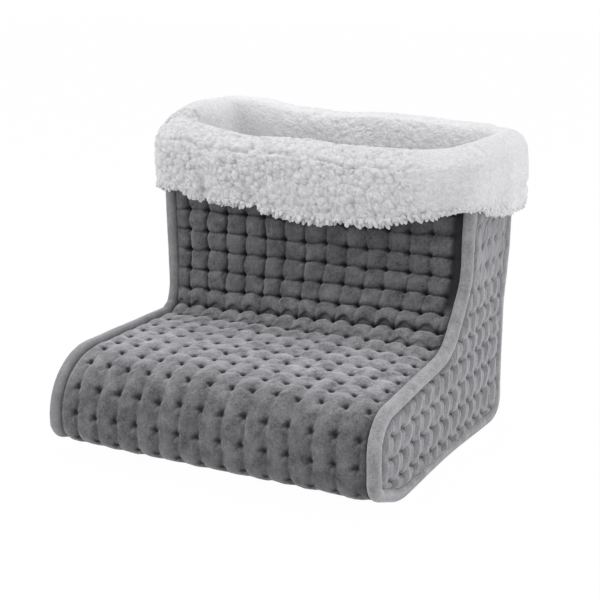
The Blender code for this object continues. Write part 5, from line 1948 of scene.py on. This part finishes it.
    def relief_shade(self, points: Array) -> Pair:
        """Heights of the pile over the smooth shape, and its tone, mostly painted shade.

        Curls of two sizes stand on lumps and slow waves; they flatten towards the right-hand corner, where
        the pile is brushed smooth, and in the back's left corner. The front's lip is marked by a crack, and
        a slanted fold, a dent, a corner crease and a crease along the right side's hem cut into it.

        Args:
            points: The smooth shape, with x, y and z on the last axis.

        Returns:
            Heights in metres, and a share from 0 in the crevices to 1 on the tips: painted shade with random
            fluff.
        """
        x, y, z = (points[..., axis] for axis in range(3))
        bent = points + np.stack([haze(points / (9 * MM), seed) for seed in (101, 102, 103)], axis=-1) * 2.6 * MM
        big, gap = curls(bent / self.curl, 104)
        small, small_gap = curls(bent / (self.curl * 0.42), 105)
        lumps, slow = haze(points / (15 * MM), 106), haze(points / (42 * MM), 107)
        some = 0.5 + 0.5 * haze(points / (8 * MM), 108)
        fluff = 0.5 + 0.5 * haze(points / (1.9 * MM), 109)
        front, rear = y < 30 * MM, ramp(y, 80, 25)
        brushed, calm = ramp(x, 76, 50) * ramp(z, 200, 22), ramp(x, -60, -50) * ramp(y, 40, 40)
        curly = (1.0 - 0.92 * np.maximum(brushed, calm)) * (1.0 - 0.55 * rear)
        crevice = np.exp(-gap / 0.10) * some + 0.5 * np.exp(-small_gap / 0.16)
        height = ((big - 0.75) * self.curl_height + (small - 0.7) * 1.0 * MM) * curly
        height = height + (lumps * 0.9 * MM * (0.4 + 0.6 * curly) + slow * 1.7 * MM - crevice * 0.9 * MM * curly)
        slant = bell(x + (58 * MM - (218 * MM - z) * 0.45), 0, 4.5) * front * ramp(z, 222, -10)
        corner = bell(y, 35, 3.5) * (x > 140 * MM)
        lobe = bell(z, 213, 3.5) * ramp(y, 60, 30) * (x > 120 * MM)
        dent = bell(x, -101, 3.4) * ramp(z, 226, -14) * front
        edge = table_at(x, self.top_x, self.top_z) - self.lip + 2.5 * MM * lumps
        crack = bell(z - edge, 0, 1.5) * front * smooth(0.6 + lumps) * (1 - brushed)
        height = height - 3.4 * MM * slant - 1.6 * MM * corner * ramp(z, 190, 10) - 2.2 * MM * lobe
        height = height - (3.0 * MM * dent + 2.0 * MM * crack)
        # Painted shade in the crevices, between the curls, in the slanted fold, the crack and the dent.
        hollow = (0.66 * crevice + 0.30 * (1.0 - big)) * curly
        tone = 0.64 + 0.42 * fluff - 0.25 * slant - hollow - 0.5 * crack - 0.25 * dent
        # Painted shade over the brushed corner, and painted light towards the back.
        return height, np.clip(tone - 0.18 * brushed + 0.12 * rear, 0.0, 1.0)

    def build(self) -> None:
        """Make the cuff and the locks along its hem."""
        points, shown = self.surface()
        normal = grid_normals(points, wraps=True)
        from_middle = points[:, self.outer_point] - points.mean(axis=(0, 1))
        normal = normal * np.sign((from_middle * normal[:, self.outer_point]).sum())
        height, tone = self.relief_shade(points)
        # Painted shade: the pile darker where it faces up, against the top lamp.
        tone = tone * (1.0 - 0.40 * np.clip(normal[..., 2], 0.0, 1.0))
        outer = points + normal * (height * shown[None])[..., None]
        numbers = np.arange(outer.shape[0] * outer.shape[1]).reshape(outer.shape[:2])
        piece = put_mesh("cuff_fleece", outer.reshape(-1, 3),
                         [grid_faces(numbers, wrap_rows=True, wrap_columns=True)], tone.ravel(), sinks=False)
        finish_piece(piece, self.palette.sherpa, Slot.SHERPA, "cuff", fill=0.6)
        self.locks(outer)

    def locks(self, outer: Array) -> None:
        """Make the loose locks that hang from the hem, each a rounded drop of a few faces.

        Args:
            outer: The cuff's points, stations x section x 3.
        """
        draw = np.random.default_rng(111)
        count, rings = self.lock_count, np.array(self.lock_rings)
        stations = draw.integers(0, outer.shape[0], count)
        root = outer[stations, draw.integers(0, self.hem_points, count)]
        scale = draw.uniform(0.6, 1.2, count)
        scale = scale * (1.0 - 0.45 * ramp(root[:, 0], 95, 50)) * (1.0 - 0.30 * ramp(root[:, 0], -40, -60))
        angle = np.arange(self.lock_sides) * 2 * math.pi / self.lock_sides
        out = unit_rows(root[:, :2] - np.array([0.0, 84 * MM]))
        lean = draw.uniform(-0.30, 0.30, (count, 2)) + out * draw.uniform(0.0, 0.45, (count, 1))
        length = draw.uniform(3.0, 5.5, count) * MM * scale
        drop = np.zeros((count, len(rings), self.lock_sides, 3))
        spread = (np.array(self.lock_widths) * self.lock_radius)[None, :, None] * scale[:, None, None]
        for axis, wave in enumerate((np.cos(angle), np.sin(angle))):
            drop[..., axis] = (root[:, None, None, axis] + spread * wave[None, None]
                               + (lean[:, axis, None] * length[:, None] * rings[None] ** 1.5)[..., None])
        drop[..., 2] = root[:, None, None, 2] + 1.5 * MM - (length[:, None] * rings[None])[..., None]
        # Painted shade: each lock darker towards its root under the cuff.
        tone = np.broadcast_to((0.62 + 0.3 * rings)[None, :, None], drop.shape[:3])
        faces = tube_faces(len(rings), self.lock_sides, count)
        piece = put_mesh("hem_locks", drop.reshape(-1, 3), faces, tone.ravel(), sinks=False)
        finish_piece(piece, self.palette.sherpa, Slot.SHERPA)


@dataclass
class HardParts(Piece):
    """The frame's own hard parts, which keep their shape and get their finish."""

    def build(self) -> None:
        """Give each hard part its material."""
        finishes = {
            self.palette.plastic: ("inlet_bezel", "inlet_housing"),
            self.palette.brass: ("inlet_pin_live", "inlet_pin_neutral"),
            self.palette.steel: ("inlet_backing_plate", "inlet_rivet_left", "inlet_rivet_right"),
            self.palette.wire: ("heating_wire", "lead_live", "lead_neutral"),
            self.palette.fuse: ("thermal_cutout_left", "thermal_cutout_right"),
            self.palette.sleeve: ("cutout_sleeve_left", "cutout_sleeve_right")}
        for material, names in finishes.items():
            for name in names:
                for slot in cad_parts[name].material_slots:
                    slot.material = material
                LOG.info("%s: %s", name, material.name)


@dataclass(frozen=True)
class Lamp:
    """A square soft lamp."""

    name: str
    place: Triple
    size: float
    power: float


@dataclass
class Studio:
    """Floor, soft lamps and the camera at the photograph's place."""

    camera_place: Triple = (0.5137, -0.9221, 0.4101)
    yaw: float = 0.5037
    pitch: float = 0.2697
    lens: float = 75.5
    sensor: float = 36.0
    near: float = 0.01
    far: float = 50.0
    middle: Triple = (0.0, 0.0, 0.12)
    floor_reach: float = 6.0
    floor_colour: Tuple[float, ...] = (0.88, 0.88, 0.88, 1.0)
    floor_glow: float = 0.985
    sky_strength: float = 0.66
    lamps: Tuple[Lamp, ...] = (Lamp("top_softbox", (0.05, 0.28, 1.35), 1.1, 8.0),
                               Lamp("right_softbox", (1.4, -0.15, 0.6), 0.9, 3.6),
                               Lamp("left_softbox", (-1.1, -0.55, 0.95), 0.8, 6.0))

    def camera(self) -> None:
        """Add the camera."""
        data = bpy.data.cameras.new("camera")
        data.lens, data.sensor_width = self.lens, self.sensor
        data.clip_start, data.clip_end = self.near, self.far
        item = linked("camera", data)
        item.location = self.camera_place
        item.rotation_euler = (math.pi / 2 - self.pitch, 0.0, self.yaw)
        bpy.context.scene.camera = item

    def light(self, lamp: Lamp) -> None:
        """Add a lamp that faces the middle of the object.

        Args:
            lamp: Its sizes.
        """
        data = bpy.data.lights.new(lamp.name, "AREA")
        data.size, data.energy = lamp.size, lamp.power
        item = linked(lamp.name, data)
        item.location = lamp.place
        item.rotation_euler = (Vector(lamp.place) - Vector(self.middle)).to_track_quat("Z", "Y").to_euler()

    def floor(self) -> None:
        """Add the floor, which shows white to the camera and keeps the object's shadow."""
        mesh = bpy.data.meshes.new("floor")
        low, high = -self.floor_reach, self.floor_reach
        mesh.from_pydata([(low, low, 0.0), (high, low, 0.0), (high, high, 0.0), (low, high, 0.0)],
                         [], [(0, 1, 2, 3)])
        linked("floor", mesh)
        shader = Shader("floor")
        path = shader.node("ShaderNodeLightPath", output="Is Camera Ray")
        shader.done(Base_Color=self.floor_colour, Roughness=0.9, Specular_IOR_Level=0.0)
        glow = shader.node("ShaderNodeEmission", {}, {"Color": WHITE, "Strength": 1.0})
        shader.show_mix(path * self.floor_glow, shader.shine(), glow)
        mesh.materials.append(shader.material)

    def sky(self) -> None:
        """Add the world: soft light on the object, and white to the camera and in reflections."""
        world = bpy.data.worlds.new("studio")
        bpy.context.scene.world = world
        world.use_nodes = True
        tree = NodeTree(world.node_tree, "World Output")
        soft = tree.tree.nodes["Background"]
        tree.feed(soft.inputs["Color"], WHITE)
        tree.feed(soft.inputs["Strength"], self.sky_strength)
        camera, passed, mirrored = (tree.node("ShaderNodeLightPath", output=f"Is {kind} Ray")
                                    for kind in ("Camera", "Transmission", "Glossy"))
        white = tree.node("ShaderNodeBackground", {}, {"Color": WHITE})
        tree.show_mix(camera.either(passed).either(mirrored), Socket(tree, soft.outputs[0]), white)

    def build(self) -> None:
        """Add the whole studio."""
        bpy.context.scene.view_settings.view_transform = "Standard"
        self.camera()
        self.floor()
        self.sky()
        for lamp in self.lamps:
            self.light(lamp)


def main() -> None:
    """Build the pieces in order and report each."""
    logging.basicConfig(level=logging.INFO, format="%(message)s")
    Studio().build()
    palette, pattern = Palette(), Pattern()
    FrontPanel(pattern, palette).build()
    BackPanel(pattern, palette).build()
    for side in Side:
        SidePanel(pattern, palette, side).build()
        Binding(pattern, palette, side).build()
    for kind in (Underside, Lining, Boards, HeaterPad, Cuff, HardParts):
        kind(pattern, palette).build()


if __name__ == "__main__":
    main()
